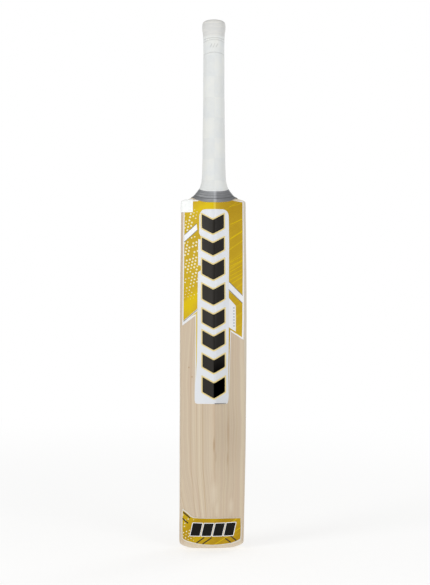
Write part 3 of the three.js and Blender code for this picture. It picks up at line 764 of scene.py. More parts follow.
def binding_tape():
    n = Nodes("binding_tape_grey")
    x, y, z = n.split(n.position)
    cavity_shade = n.attribute("cavity_shade")
    weave = n.noise(n.scaled(1400, 1400, 260), 1, 2, 0.6)
    blotch = n.noise(n.scaled(55, 55, 150), 1, 3, 0.6)
    # Painted light and shade across the tape: a painted highlight along the ridge and painted shade towards both sides,
    # most on the right.
    colour = n.ramp(
        n.span(x, -0.036, 0.036, smoothly=False),
        (0.0, lin(102, 103, 105)),
        (0.46, lin(148, 150, 153)),
        (0.50, lin(172, 174, 178)),
        (0.56, lin(126, 127, 130)),
        (1.0, lin(98, 99, 101)),
    )
    colour = n.mix(n.span(blotch, 0.40, 0.70, 0, 0.45), colour, lin(98, 100, 102))
    colour = n.mix(n.span(weave, 0.4, 0.8, 0, 0.16), colour, lin(164, 165, 167))
    # Painted shade in the line under each turn.
    colour = n.mix(n.span(cavity_shade, 0.0, 1.0, 0, 0.8), colour, lin(52, 53, 55))
    n.bump(weave, 0.00010, 0.4)
    return n.finish(colour, n.span(blotch, 0.3, 0.7, 0.30, 0.45), coat=0.2, coat_rough=0.2)


def gold_vinyl(name, light, light_deep, deep, deep_dark):
    """Printed metallic gold: brighter left of the ridge and deeper right of it, partly a darker print and partly
    painted shade on the right flank, with a painted highlight along the ridge and fine diagonal strokes.
    """
    n = Nodes(name)
    x, y, z = n.split(n.position)
    sweep = n.noise1(n.math("ADD", n.math("MULTIPLY", x, -0.55), n.math("MULTIPLY", z, 0.62)), 42, 2, 0.5)
    cloud = n.noise(n.scaled(40, 1, 26), 1, 3, 0.6)
    grain = n.noise(n.scaled(700, 700, 700), 1, 2, 0.6)
    diagonal = n.math("ADD", n.math("MULTIPLY", x, 0.56), n.math("MULTIPLY", z, -0.83))
    lines = n.noise1(diagonal, 230, 2, 0.6)
    a = n.mix(n.span(n.math("ADD", n.math("MULTIPLY", sweep, 0.6), n.math("MULTIPLY", cloud, 0.4)), 0.42, 0.58), lin(*light), lin(*light_deep))
    b = n.mix(n.span(cloud, 0.35, 0.65), lin(*deep), lin(*deep_dark))
    b = n.mix(n.span(lines, 0.54, 0.70, 0, 0.5), b, lin(*light))
    a = n.mix(n.math("MULTIPLY", n.span(z, 0.400, 0.435), n.span(z, 0.548, 0.53, 0, 0.75)), a, lin(191, 159, 42))
    # The change of tone across the ridge is partly print and partly painted shade on the right flank.
    colour = n.mix(n.ridge_side(0.0012, -0.0020), a, b)
    # Painted highlight along the ridge, only high on the blade.
    glint = n.math("MULTIPLY", n.ridge_side(0.0016, 0.0012), n.math("SUBTRACT", 1.0, n.ridge_side(0.0012, -0.0020)))
    glint = n.math("MULTIPLY", glint, n.span(z, 0.45, 0.5, 0, 0.4))
    colour = n.mix(glint, colour, lin(226, 204, 104))
    colour = n.mix(n.math("MULTIPLY", n.span(z, 0.47, 0.565, 0, 0.45), n.span(x, 0.0, 0.02)), colour, lin(150, 112, 16))
    colour = n.mix(n.span(grain, 0.55, 0.8, 0, 0.05), colour, lin(140, 108, 20))
    n.bump(grain, 0.00003, 0.25)
    return n.finish(
        colour, n.span(sweep, 0.3, 0.7, 0.34, 0.44), coat=0.0, specular=0.5, tint=(0.92, 0.70, 0.16, 1)
    )


def plain(name, rgb, rough, coat=0.15, specular=0.5, tint=None):
    """A single printed ink or film: flat colour, with its surface in roughness and bump."""
    n = Nodes(name)
    grain = n.noise(n.scaled(800, 800, 800), 1, 2, 0.6)
    waves = n.noise(n.scaled(40, 40, 22), 1, 2, 0.5)
    n.bump(n.math("ADD", n.math("MULTIPLY", grain, 0.4), waves), 0.00005, 0.25)
    return n.finish(
        lin(*rgb), n.span(waves, 0.3, 0.7, rough - 0.05, rough + 0.07), coat=coat, coat_rough=0.14,
        specular=specular, tint=tint,
    )


def black_ink():
    """Printed black: a soft sheen left of the ridge, and painted shade that makes it deeper to the right and deepest
    low down.
    """
    n = Nodes("ink_black")
    x, y, z = n.split(n.position)
    grain = n.noise(n.scaled(800, 800, 800), 1, 2, 0.6)
    waves = n.noise(n.scaled(40, 40, 22), 1, 2, 0.5)
    back = n.span(y, 0.004, -0.004)
    # Painted shade: right of the ridge the ink is painted down towards pure black, most low down, with less specular
    # there.
    deep = n.math("MULTIPLY", n.math("MULTIPLY", n.ridge_side(0.002, 0.001), n.span(z, 0.335, 0.275, 0.3, 1.0)), back)
    colour = n.mix(deep, lin(27, 22, 14), lin(0, 0, 0))
    n.put(n.bsdf.inputs["Specular IOR Level"], n.math("SUBTRACT", 0.3, n.math("MULTIPLY", deep, 0.3)))
    n.bump(n.math("ADD", n.math("MULTIPLY", grain, 0.4), waves), 0.00005, 0.25)
    n.bsdf.inputs["Coat Weight"].default_value = 0.0
    n.put(n.bsdf.inputs["Base Color"], colour)
    n.put(n.bsdf.inputs["Roughness"], n.span(waves, 0.3, 0.7, 0.37, 0.49))
    return n.material


def white_vinyl(name="vinyl_white", light=(232, 233, 234), grey=(226, 227, 230)):
    n = Nodes(name)
    wave = n.noise(n.scaled(35, 35, 14), 1, 3, 0.6)
    grain = n.noise(n.scaled(800, 800, 800), 1, 2, 0.6)
    colour = n.mix(n.span(wave, 0.35, 0.7), lin(*light), lin(*grey))
    x, y, z = n.split(n.position)
    # Painted shade right of the ridge, on the lower part of the sheet.
    low = n.math("MULTIPLY", n.math("MULTIPLY", n.ridge_side(0.003), n.span(z, 0.36, 0.26, 0, 0.5)), n.span(z, 0.15, 0.2))
    colour = n.mix(low, colour, lin(203, 205, 208))
    n.bump(n.math("ADD", n.math("MULTIPLY", grain, 0.4), wave), 0.00005, 0.25)
    return n.finish(colour, n.span(wave, 0.3, 0.7, 0.33, 0.44), coat=0.3, coat_rough=0.14)


def label_paper():
    n = Nodes("label_white")
    crease = n.noise(n.scaled(160, 160, 160), 1, 4, 0.65, 0.6)
    colour = n.mix(n.span(crease, 0.4, 0.7), lin(250, 252, 250), lin(240, 243, 242))
    n.bump(crease, 0.0005, 0.5)
    return n.finish(colour, n.span(crease, 0.3, 0.7, 0.35, 0.55), coat=0.15)


WILLOW, CANE, RUBBER, CORK, TWINE = willow(), cane(), spring_rubber(), cork(), twine()
GRIP, TAPE, WHITE, LABEL = grip_rubber(), binding_tape(), white_vinyl(), label_paper()
GOLD = gold_vinyl("vinyl_gold", (216, 187, 20), (200, 167, 38), (192, 158, 34), (184, 150, 28))
TOE_GOLD_M = gold_vinyl("vinyl_gold_toe", (196, 164, 16), (178, 142, 18), (180, 144, 24), (166, 128, 12))
BLACK = black_ink()
TOE_BLACK = plain("ink_black_toe", (10, 8, 4), 0.5, coat=0.0, specular=0.16)
LINE_GOLD = plain("ink_line_gold", (212, 188, 92), 0.4, coat=0.0, specular=0.4)
CREAM = plain("ink_pale_gold", (226, 205, 140), 0.38, coat=0.05)
INK_WHITE = plain("ink_white", (240, 242, 244), 0.4)
INK_GREY = plain("ink_dark_grey", (92, 92, 88), 0.45)
INK_BRIGHT = plain("ink_bright_yellow", (216, 186, 10), 0.4, coat=0.0, tint=(0.9, 0.7, 0.1, 1))
INK_BROWN = plain("ink_brown", (62, 44, 10), 0.45, coat=0.0, specular=0.3)
INK_TICK = plain("ink_pale_grey", (146, 154, 166), 0.5)
# Grey for the painted shadow under the panel's lifted edge.
INK_EDGE_SHADOW = plain("ink_painted_edge_shadow", (112, 112, 108), 0.6, coat=0.0, specular=0.3)
INK_DOT = plain("ink_dot", (238, 232, 196), 0.4, coat=0.0, specular=0.4)
TOE_WHITE = white_vinyl("vinyl_toe", (220, 216, 206), (212, 208, 198))
PANEL = white_vinyl("vinyl_panel", (223, 226, 230), (217, 220, 225))


# ------------------------------------------------------------------ willow blade
def blade_mesh():
    half = np.concatenate([
        np.degrees(np.arcsin(np.linspace(0, 0.12, 9)[:-1])),
        np.degrees(np.arcsin(np.linspace(0.12, 0.9, 22)[:-1])),
        np.linspace(EDGE_FROM, 81, 9)[:-1],
        np.linspace(81, 99, 5)[:-1],
        np.linspace(99, 180 - EDGE_FROM, 8)[:-1],
        180 - np.degrees(np.arcsin(np.linspace(0.9, 0, 14))),
    ])
    theta = np.concatenate([half, 360 - half[-2:0:-1]])
    zs = np.concatenate([
        [0, 0.15, 0.35, 0.6, 0.9, 1.3, 1.8, 2.4, 3.0, 3.7, 4.5, 5.3, 6.1, 7.0, 7.9, 9.0, 10.5, 12.5, 15],
        np.arange(18, 549, 5.0), [549, 552, 553.8, 555.4, 556.2, 556.9, 557.7, 558.5, 559.3, 560.1, 560.9, 561.7],
        [562.6, 563.5, 564.5, 565.6, 567.2, 568.8, 570.5, 572.2, 573.8, 575.3, 577, 578.4],
    ])
    rings = surf(theta[None, :], zs[:, None])
    return solid_from_rings(rings)


verts, faces = blade_mesh()
blade = add_mesh("blade_willow", verts, faces, WILLOW, 40, "willow")
cut = prism_object([
    (0, SPLICE_TIP), (SPLICE_HALF, SPLICE_TOP), (80, SPLICE_TOP), (80, 900),
    (-80, 900), (-80, SPLICE_TOP), (-SPLICE_HALF, SPLICE_TOP),
])
boolean(blade, cut, "DIFFERENCE")
blade.data.set_sharp_from_angle(angle=math.radians(40))
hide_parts("willow_blade")

# ------------------------------------------------------------------ grip
GROOVES = [  # height, half width, depth, how far the line dips at the sides
    (818.0, 0.7, 0.5, 1.8), (815.0, 0.6, 0.45, 3.2), (794.9, 0.6, 0.5, 3.0),
]
PANELS = [790.1, 757.2, 723.1, 690.1, 657.9, 625.1, 589.9]
RIB = 2.2
grip_offset = curve([
    (560, 2.62), (600, 2.62), (780, 2.72), (790, 2.7), (803, 2.62), (812, 2.75), (825, 2.83), (829, 2.95),
    (831, 3.45), (834, 3.62), (837, 3.74), (840, 3.6), (842.4, 3.3), (850, 3.3),
])


def grip_relief(theta, z, radius=16.0):
    """Height of the moulding above the sleeve and how deep in a groove a point is, the mask for the painted shade in
    the grooves.
    """
    t = np.radians(theta)
    across = np.clip(np.sin(t) * radius / 0.55, -1, 1)
    along = np.ones_like(z)
    near = np.full(np.shape(z), 1e9)
    for h in PANELS:
        along = along * np.clip((z - h) / 0.45, -1, 1)
        near = np.minimum(near, np.abs(z - h))
    on = 1 - smooth(789.6, 790.6, z)
    ribbed = 0.5 + 0.5 * across * along
    ribs = 0.5 + 0.5 * np.cos(2 * np.pi * (z - 572.0) / RIB)
    height = on * (ribbed * (0.30 * ribs - 0.17) + (1 - ribbed) * 0.10)
    seam = np.maximum(np.exp(-((near / 0.5) ** 2)), np.exp(-((np.sin(t) * radius / 0.45) ** 2)))
    height -= on * 0.08 * seam
    cavity_shade = on * (ribbed * (1 - ribs) * 0.13 + 0.13 * seam)
    for h, half, deep, dip in GROOVES:
        g = np.exp(-(((z - h + dip * np.sin(t) ** 2) / half) ** 4))
        height -= deep * g
        cavity_shade = np.maximum(cavity_shade, 0.62 * g)
    # Three slanted dashes moulded into the plain band, front and back.
    for centre in (0.0, 180.0):
        arc_x = (((theta - centre + 180) % 360) - 180) * math.pi / 180 * radius
        for k in (-1, 0, 1):
            cx = k * 4.6 - 0.6
            dz = z - 805.6
            dx = arc_x - cx - dz * 0.45
            dash = (1 - smooth(0.45, 1.35, np.abs(dx))) * (1 - smooth(2.7, 3.7, np.abs(dz)))
            height -= 0.35 * dash
            cavity_shade = np.maximum(cavity_shade, 0.6 * dash)
    return height, np.clip(cavity_shade, 0, 1), on * ribbed


def grip_mesh():
    fine = np.arange(-24, 25) * 1.25  # closer columns where the dashes are moulded
    theta = np.sort(np.concatenate([fine % 360, fine + 180, np.arange(33.6, 149, 3.6), np.arange(213.6, 329, 3.6)]))
    cols = len(theta)
    low = np.concatenate([[0.0, 0.25, 0.7], np.arange(1.1, 216.5, RIB / 4)]) + 572.0
    zs = np.concatenate([low, np.arange(788.8, 790.8, 0.4), np.arange(790.9, 796.4, 0.28), np.arange(797, 801, 1.0),
                         np.arange(801.4, 810.2, 0.4), np.arange(810.6, 812.4, 0.6), np.arange(812.6, 819.6, 0.25),
                         np.arange(820.2, 842.4, 1.0), [842.4]])
    zs = np.unique(np.round(zs, 3))
    dip = 3.5 * np.sin(np.radians(theta)) ** 2
    z = zs[:, None] + dip[None, :] * (1 - smooth(572, 596, zs))[:, None]
    th = np.broadcast_to(theta[None, :], z.shape)
    base, n = surf(th, z), out(th, z)
    height, cavity_shade, ribbed = grip_relief(th, z)
    fade = smooth(572.5, 574.5, zs)[:, None]
    hem = np.exp(-(((zs - 573.4) / 1.1) ** 2))[:, None] * 0.25  # a slight bead at the cut edge
    off = grip_offset(z) + height * fade + hem
    off[0] -= 0.45
    off[1] -= 0.12
    outer = base + n * off[..., None]
    # The top: domed over and turned in to an open mouth.
    profile = [
        (18.2, 843.3), (17.85, 844.2), (17.25, 845.1), (16.4, 845.95), (15.3, 846.7), (14.1, 847.3), (12.9, 847.75),
        (12.0, 848.0), (11.3, 848.05), (10.8, 847.8), (10.5, 847.3), (10.4, 846.7), (10.5, 846.2), (10.9, 845.9),
    ]
    rad = np.radians(theta)
    top = np.array([[(r * math.sin(a), -r * math.cos(a), h) for a in rad] for r, h in profile])
    inner_z = np.array([572.0, 576, 579.5, 582.4, 592, 611, 650, 700, 760, 800, 820, 836, 845.2])
    zi = inner_z[:, None] + dip[None, :] * (1 - smooth(572, 596, inner_z))[:, None]
    thi = np.broadcast_to(theta[None, :], zi.shape)
    wall = curve([(560, 2.05), (579.5, 2.05), (582.4, 1.05), (900, 1.05)])(zi)
    inner = surf(thi, zi) + out(thi, zi) * wall[..., None]
    inner = np.concatenate([inner, np.array([[(14.6 * math.sin(a), -14.6 * math.cos(a), 845.8) for a in rad]])])
    outer = np.concatenate([outer, top])
    v, f = shell_from_rings(outer, inner)
    cav = np.zeros(len(v))
    cav[: cavity_shade.size] = (cavity_shade * fade).ravel()
    rib = np.zeros(len(v))
    rib[: z.size] = ribbed.ravel()
    knob = np.zeros(len(v))
    knob[: z.size] = smooth(819.5, 823, z).ravel()
    knob[z.size : z.size + top.shape[0] * cols] = 1.0
    return v, f, cav, knob, rib


verts, faces, cavity_shade, knob, rib = grip_mesh()
grip = add_mesh("grip_rubber", verts, faces, GRIP, 60, "grip_rubber")
for name, values in (("cavity_shade", cavity_shade), ("knob", knob), ("ribbed", rib)):
    layer = grip.data.attributes.new(name, "FLOAT", "POINT")
    layer.data.foreach_set("value", values.astype(np.float32))
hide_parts("rubber_grip")


# ------------------------------------------------------------------ binding tape over the shoulders
def foot(x):
    return 555.0 + 7.8 * np.minimum(1, np.abs(x) / 34.5) ** 2.6 - 1.1 * smooth(14, 27, x)


def hem_line(x):
    return 572.3 + 3.2 * np.minimum(1, (x / 24) ** 2)


swell = curve([(550, 0.5), (562, 0.6), (569, 1.3), (574, 1.9), (583, 1.9)])
WRAPS = [0.0, 0.33, 0.60, 0.80, 1.06]
STEPS = [1.0, 0.95, 0.45, 0.4, 0.4]  # how dark the painted shade in the line under each turn is


def tape_mesh():
    half = np.concatenate([
        [0, 1.2, 2.4, 4, 6, 9], np.arange(12, 64, 3.0), np.linspace(64.2, 81, 9), np.linspace(83, 97, 6),
        np.linspace(99, 115.8, 9), np.arange(119, 180, 4.0), [180.0],
    ])
    theta = np.concatenate([half, 360 - half[-2:0:-1]])
    ts = []
    for a, b in zip(WRAPS, WRAPS[1:]):
        ts += [a + (b - a) * s for s in (0.0, 0.05, 0.12, 0.25, 0.45, 0.65, 0.8, 0.9, 0.96)]
    ts = np.array(ts + [WRAPS[-1]])
    th = np.broadcast_to(theta[None, :], (len(ts), len(theta)))
    lo = np.full(th.shape, 552.0)
    hi = np.full(th.shape, 580.0)
    for _ in range(34):
        mid = (lo + hi) / 2
        x = surf(th, mid)[..., 0] - lean(mid)
        want = foot(x) + ts[:, None] * (hem_line(x) - foot(x))
        above = mid > want
        hi = np.where(above, mid, hi)
        lo = np.where(above, lo, mid)
    z = (lo + hi) / 2
    base, n = surf(th, z), out(th, z)
    bulge = np.zeros(len(ts))
    cav = np.zeros(len(ts))
    for k, (a, b) in enumerate(zip(WRAPS, WRAPS[1:])):
        s = (ts - a) / (b - a)
        on = (s >= 0) & (s < 1)
        shape = np.clip(np.minimum(s / 0.14, (1 - s) / 0.14), 0, 1)
        # Each turn lies over the one below it, so it is thickest at its lower edge.
        bulge = np.where(on, (0.42 - 0.16 * s) * np.sqrt(np.clip(shape * (2 - shape), 0, 1)), bulge)
        deep = np.where(s < 0.5, STEPS[k] if k else 0.0, STEPS[k + 1])
        cav = np.where(on, deep * np.clip(1 - np.minimum(s, 1 - s) / 0.13, 0, 1), cav)
    bulge[-1] = 0.1
    off = swell(z) + 0.30 + bulge[:, None]
    outer = base + n * off[..., None]
    inner = base + n * (swell(z) + 0.12)[..., None]
    v, f = shell_from_rings(outer, inner)
    cavity_shade = np.zeros(len(v))
    cavity_shade[: z.size] = np.repeat(cav, len(theta))
    return v, f, cavity_shade


verts, faces, cavity_shade = tape_mesh()
tape = add_mesh("shoulder_binding", verts, faces, TAPE, 40, "binding_tape")
layer = tape.data.attributes.new("cavity_shade", "FLOAT", "POINT")
layer.data.foreach_set("value", cavity_shade.astype(np.float32))
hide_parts("shoulder_tape")

# ------------------------------------------------------------------ the back sticker
BACK_SHEET = [
    (-48.15, 558.9), (-49.3, 511.0), (-50.0, 459.6), (-50.9, 399.0), (-51.4, 358.3), (-31.06, 373.9),
    (-30.9, 351.5), (-31.1, 320.0), (-31.7, 280.5), (-32.3, 249.0), (-32.3, 241.0), (-31.4, 236.6),
    (-28.8, 235.2), (-16.4, 235.5), (-2.0, 236.0), (8.7, 235.6), (17.3, 235.3), (19.5, 236.4), (20.6, 241.0),
    (21.3, 249.0), (22.8, 280.4), (24.1, 319.8), (25.1, 348.6),
    (45.9, 335.4), (46.4, 367.1), (46.8, 398.9), (47.1, 462.9), (47.3, 511.3), (47.3, 557.5),
]
GOLD_UPPER = [
    (-23.0, 558.9), (-26.4, 557.0), (-46.87, 556.6), (-47.6, 511.0), (-48.2, 459.6), (-49.1, 414.9), (-49.6, 366.0), (-27.6, 385.2),
    (-15.9, 395.9), (-0.2, 414.9), (14.5, 430.0), (22.87, 427.3), (44.7, 406.1), (45.3, 446.9), (45.8, 511.2),
    (45.9, 556.0), (38.0, 557.0), (28.0, 558.2),
]
GOLD_LOWER = [
    (21.5, 415.0), (44.4, 393.5), (44.1, 367.1), (43.3, 339.6), (24.2, 351.75), (23.2, 327.7), (21.7, 285.1),
    (20.6, 250.0), (20.3, 250.0), (20.6, 285.2), (21.2, 327.8), (21.6, 355.9), (33.2, 348.6), (33.4, 367.2),
    (33.4, 389.6), (21.4, 403.0),
]
GOLD_LINE_LEFT = [
    (-39.05, 372.0), (-27.6, 381.6), (-27.6, 351.5), (-28.7, 304.2), (-30.8, 262.0), (-31.0, 262.0),
    (-30.1, 304.1), (-30.0, 351.5), (-29.96, 376.5),
]
WHITE_STRIPE = [(-47.5, 502.6), (-28.2, 520.4), (-27.1, 511.0), (-47.7, 492.2)]
PLAQUE = [
    (-24.4, 505.6), (-23.9, 520.4), (-23.8, 532.6), (-23.4, 535.2), (-22.6, 537.5), (-21.5, 539.5),
    (-20.36, 541.5), (-18.4, 542.8), (-16.25, 543.5), (-13.91, 543.8), (12.02, 543.8), (14.41, 543.6),
    (16.7, 542.9), (18.8, 541.6), (20.52, 539.9), (21.76, 537.8), (22.52, 535.5), (22.81, 533), (23, 520.5),
    (23.2, 486.7), (22.6, 454.7), (22.2, 426), (22.0, 391.1), (21.6, 356.2), (21.2, 319.9), (20.7, 285.2),
    (20.4, 250), (19.9, 241), (19, 237.6), (17.1, 236.2), (8.7, 236.4), (-2, 236.8), (-16.4, 236.3),
    (-28.6, 236), (-30.8, 237.3), (-31.5, 241), (-31.5, 249), (-31, 264.7), (-28.7, 304.2), (-27.7, 351.5),
    (-27.4, 399), (-26.8, 422.8), (-26.5, 442.9), (-21.7, 446.4), (-19.9, 449.4), (-22.9, 454), (-26.3, 454.2),
    (-26.1, 470.65), (-25.8, 496.3), (-24.4, 495.8), (-20.1, 495.2), (-12.15, 496.7), (-20.79, 498.45),
    (-23.55, 504.3),
]
BLOCKS = [
    (536.0, 504.3), (498.7, 469.6), (464.1, 431.0), (424.8, 391.2), (385.2, 354.0), (350.8, 320.1), (313.7, 284.1),
    (277.6, 244.6),
]
DARK_LINES = [
    ((-47.5, 503.1), (-27.85, 521.0)), ((-47.7, 491.7), (-26.8, 510.9)), ((-49.4, 364.8), (-27.6, 383.9)),
    ((22.9, 427.6), (44.7, 406.0)), ((21.8, 415.7), (44.6, 393.8)),
]
FINE_LINES = [
    ((24.9, 496.1), (45.0, 509.1), 1.3), ((25.9, 519.9), (45.2, 529.0), 0.9), ((25.1, 458.7), (44.7, 469.3), 0.6),
    ((24.5, 452.3), (44.7, 462.6), 0.8), ((24.3, 443.6), (44.6, 454.9), 0.8), ((24.4, 437.2), (44.5, 447.7), 0.6),
    ((24.7, 431.1), (44.5, 441.3), 0.8), ((26.8, 425.6), (44.4, 434.7), 0.6), ((24.0, 548.3), (44.3, 554.1), 0.45),
]


def tucked(loop, gap=0.1):
    """The part of an outline below the tape's lower edge."""
    res = []
    n = len(loop)
    for i in range(n):
        a, b = loop[i], loop[(i + 1) % n]
        k = 120 if min(a[1], b[1]) > 550 else 1
        for s in range(k):
            t = s / k
            x, z = a[0] + (b[0] - a[0]) * t, a[1] + (b[1] - a[1]) * t
            limit = float(foot(x - float(lean(z)))) - gap
            res.append((x, min(z, limit, 559.6)))
    clean = []
    for p in res:
        if not clean or math.hypot(p[0] - clean[-1][0], p[1] - clean[-1][1]) > 0.5:
            clean.append(p)
    return clean


def lifted(u, z):
    """The lower right corner of the long panel has let go of the wood a little."""
    return 0.8 * np.exp(-(((z - 235.4) / 4.5) ** 2)) * smooth(0, 5, u + 1) * (1 - smooth(17, 22, u + 1))


def sheet(name, loops, low, high, material, slot="vinyl", row=6.0, point=back_point, raised=None):
    v, f = drape(loops, low, high, row, point, raised)
    return add_mesh(name, v, f, material, 40, slot)


back = sheet("back_sticker_sheet", [tucked(BACK_SHEET)], 0.10, 0.40, WHITE, raised=lifted)
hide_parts("back_sticker")
sheet("back_sticker_gold", [tucked(GOLD_UPPER, 0.15)], 0.36, 0.49, GOLD)
sheet("back_sticker_gold_low", [GOLD_LOWER], 0.36, 0.46, GOLD)
sheet("back_sticker_gold_line", [GOLD_LINE_LEFT], 0.36, 0.46, LINE_GOLD)
sheet("back_sticker_panel", [PLAQUE], 0.34, 0.56, PANEL, raised=lifted)
sheet("back_sticker_stripe", [WHITE_STRIPE], 0.40, 0.56, INK_WHITE)


# A painted shadow: a dark grey strip along the lower edge of the panel, under its lifted right corner.
edge_shadow_strip = [drape([stroke((-1.6, 236.3), (16.4, 236.1), 1.4, (1.0, 0.5))], 0.50, 0.66, 3.0, raised=lifted)]
add_mesh("back_sticker_painted_edge_shadow", *join(edge_shadow_strip), INK_EDGE_SHADOW, 40, "vinyl")


def chevron(top, bottom, x0=-19.9, xm=-2.8, x1=14.8, drop=9.5):
    return [(x0, top), (xm, top - drop), (x1, top), (x1, bottom + drop), (xm, bottom), (x0, bottom + drop)]


solid, outline = [], []
for top, bottom in BLOCKS:
    shape = chevron(top, bottom)
    outline.append(drape([rounded(grow(shape, 2.1), 2.0)], 0.50, 0.64))
    solid.append(drape([rounded(shape, 1.4)], 0.52, 0.74))
add_mesh("back_sticker_chevron_edges", *join(outline), CREAM, 40, "vinyl")
add_mesh("back_sticker_chevrons", *join(solid), BLACK, 40, "vinyl")
add_mesh("back_sticker_dark_lines", *join([drape([stroke(a, b, 0.8)], 0.40, 0.62) for a, b in DARK_LINES]), INK_GREY, 40, "vinyl")
add_mesh("back_sticker_fine_lines", *join([drape([stroke(a, b, w)], 0.42, 0.54) for a, b, w in FINE_LINES]), INK_BRIGHT, 40, "vinyl")
ticks = [drape([stroke((29.2, z), (31.2, z), 1.7)], 0.40, 0.60) for z in (386.3, 381.5, 376.7, 372.0, 367.2, 362.4, 357.7)]
add_mesh("back_sticker_ticks", *join(ticks), INK_TICK, 40, "vinyl")


def halftone(origin, a, b, keep):
    """Centres of a printed lattice with a radius for each; some dots are missing or small."""
    res = []
    for i in range(-60, 61):
        for j in range(-60, 61):
            x = origin[0] + a[0] * i + b[0] * j
            z = origin[1] + a[1] * i + b[1] * j
            chance = (math.sin(i * 12.9898 + j * 78.233) * 43758.5453) % 1.0
            r = keep(x, z) * (0.0 if chance < 0.2 else 0.75 if chance > 0.85 else 1.0)
            if r > 0.35:
                res.append((x, z, r))
    return res


def back_dot(x, z):
    if not (-47.6 < x < -26.6 and 399 < z < 545) or (x < -33.2 and z > 538):
        return 0
    t = (x + 47.5) / 19.4
    if 490.5 + 18.8 * t < z < 504.6 + 17.9 * t:
        return 0
    f = 1.0
    if z < 443:
        f = max(0, 1 - (443 - z) / 46)
    if z > 533:
        f *= min(1, max(0.3, 1 - (x + 40) / 22))
    if x > -32 and z > 507:
        f *= 0.5
    return 1.5 * math.sqrt(f)


dots = [disc(x, z, r, 0.42, 0.56) for x, z, r in halftone((-37.89, 468.61), (4.995, 1.614), (1.114, 5.21), back_dot)]
add_mesh("back_sticker_dots", *join(dots), INK_DOT, 40, "vinyl")

# ------------------------------------------------------------------ the toe sticker
TOE_SHEET = [
    (-50.9, 66.2), (-42.9, 60.7), (-37.6, 55.5), (-33.1, 53.2), (-25.5, 52.8), (-5.1, 52.9), (18.05, 52.3),
    (42.5, 50.8), (43.9, 35.4), (43.8, 19.4), (42.7, 13.1), (36.8, 10.2), (26.7, 7.5), (11.2, 5.7), (-4.25, 5.0),
    (-19.6, 6.4), (-32.6, 9.0), (-42.6, 11.5), (-49.5, 14.9), (-51.76, 17.6), (-52.25, 36.2), (-52.1, 56.0),
]
TOE_GOLD = [
    (-50.2, 63.3), (-43.5, 58.7), (-38.3, 54.0), (-33.5, 52.0), (-25.5, 51.9), (-5.1, 52.1), (18.1, 51.5),
    (41.9, 50.1), (42.4, 35.5), (42.2, 19.5), (41.5, 15.6), (35.2, 12.3), (26.7, 9.5), (11.15, 7.5), (-4.3, 6.8),
    (-19.6, 7.8), (-32.6, 10.6), (-42.6, 13.3), (-48.7, 16.1), (-50.5, 18.4), (-51.0, 36.3), (-50.8, 52.2),
]
TOE_DARK = [
    ((-49.6, 60.8), (-38.95, 51.9)), ((-50.7, 50.5), (-41.9, 42.6)), ((-28.6, 9.9), (-16.1, 19.8)),
    ((-18.6, 8.3), (-4.3, 19.5)), ((18.8, 28.2), (35.6, 12.9)), ((17.4, 17.7), (26.6, 10.3)),
]
TOE_FINE = [((1.6, 8.2), (41.9, 34.4)), ((26.8, 44.6), (36.0, 49.6))]

toe = sheet("toe_sticker_sheet", [TOE_SHEET], 0.10, 0.40, TOE_WHITE, row=3.0)
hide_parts("toe_sticker")
sheet("toe_sticker_gold", [TOE_GOLD], 0.36, 0.46, TOE_GOLD_M, row=3.0)
add_mesh("toe_sticker_dark_lines", *join([drape([stroke(a, b, 2.0)], 0.42, 0.58, 3.0) for a, b in TOE_DARK]), INK_BROWN, 40, "vinyl")
add_mesh("toe_sticker_fine_lines", *join([drape([stroke(a, b, 1.0)], 0.42, 0.52, 3.0) for a, b in TOE_FINE]), INK_BRIGHT, 40, "vinyl")
bars, bar_edges = [], []
for x, z in ((-38.4, 22.4), (-20.6, 22.4), (-2.8, 22.4), (15.0, 22.4)):
    shape = [(x, z), (x + 14.8, z), (x + 14.8 + (43.6 - z) * 0.2, 43.6), (x + (43.6 - z) * 0.2, 43.6)]
    bar_edges.append(drape([rounded(grow(shape, 1.05), 1.2)], 0.42, 0.60, 3.0))
    bars.append(drape([rounded(shape, 0.9)], 0.46, 0.70, 3.0))
add_mesh("toe_sticker_bar_edges", *join(bar_edges), INK_WHITE, 40, "vinyl")
add_mesh("toe_sticker_bars", *join(bars), TOE_BLACK, 40, "vinyl")


def toe_dot(x, z):
    if not (-50.0 < x < -29 and 13.5 < z < 58) or (z > 51.5 and x > -42.5 - (z - 51.5) * 0.9):
        return 0
    if x > -39.2 and 20.6 < z < 45.4:
        return 0
    if z < 17.5 and x < -47.5:
        return 0
    f = min(1, max(0, 1 - (x + 43) / 14))
    return 1.0 * math.sqrt(f)


dots = [disc(x, z, r, 0.42, 0.54) for x, z, r in halftone((-43.75, 34.27), (4.613, 2.137), (0.657, 5.207), toe_dot)]
add_mesh("toe_sticker_dots", *join(dots), INK_DOT, 40, "vinyl")

# ------------------------------------------------------------------ the face sticker
FACE_SHEET = [(-21, 404), (-24, 401), (-24, 338), (-21, 334), (0, 322), (21, 334), (24, 338), (24, 401), (21, 404)]
face = sheet("face_sticker_sheet", [FACE_SHEET], 0.10, 0.40, WHITE, point=face_point)
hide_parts("face_sticker")
sheet("face_sticker_gold", [grow(FACE_SHEET, -1.6)], 0.36, 0.46, GOLD, point=face_point)
shapes = [chevron(394, 374, -15, 0, 15, 8), chevron(369, 349, -15, 0, 15, 8)]
add_mesh(
    "face_sticker_chevron_edges",
    *join([drape([rounded(grow(s, 1.6), 1.6)], 0.42, 0.56, 6.0, face_point) for s in shapes]), INK_WHITE, 40, "vinyl",
)
add_mesh(
    "face_sticker_chevrons",
    *join([drape([rounded(s, 1.2)], 0.46, 0.66, 6.0, face_point) for s in shapes]), BLACK, 40, "vinyl",
)


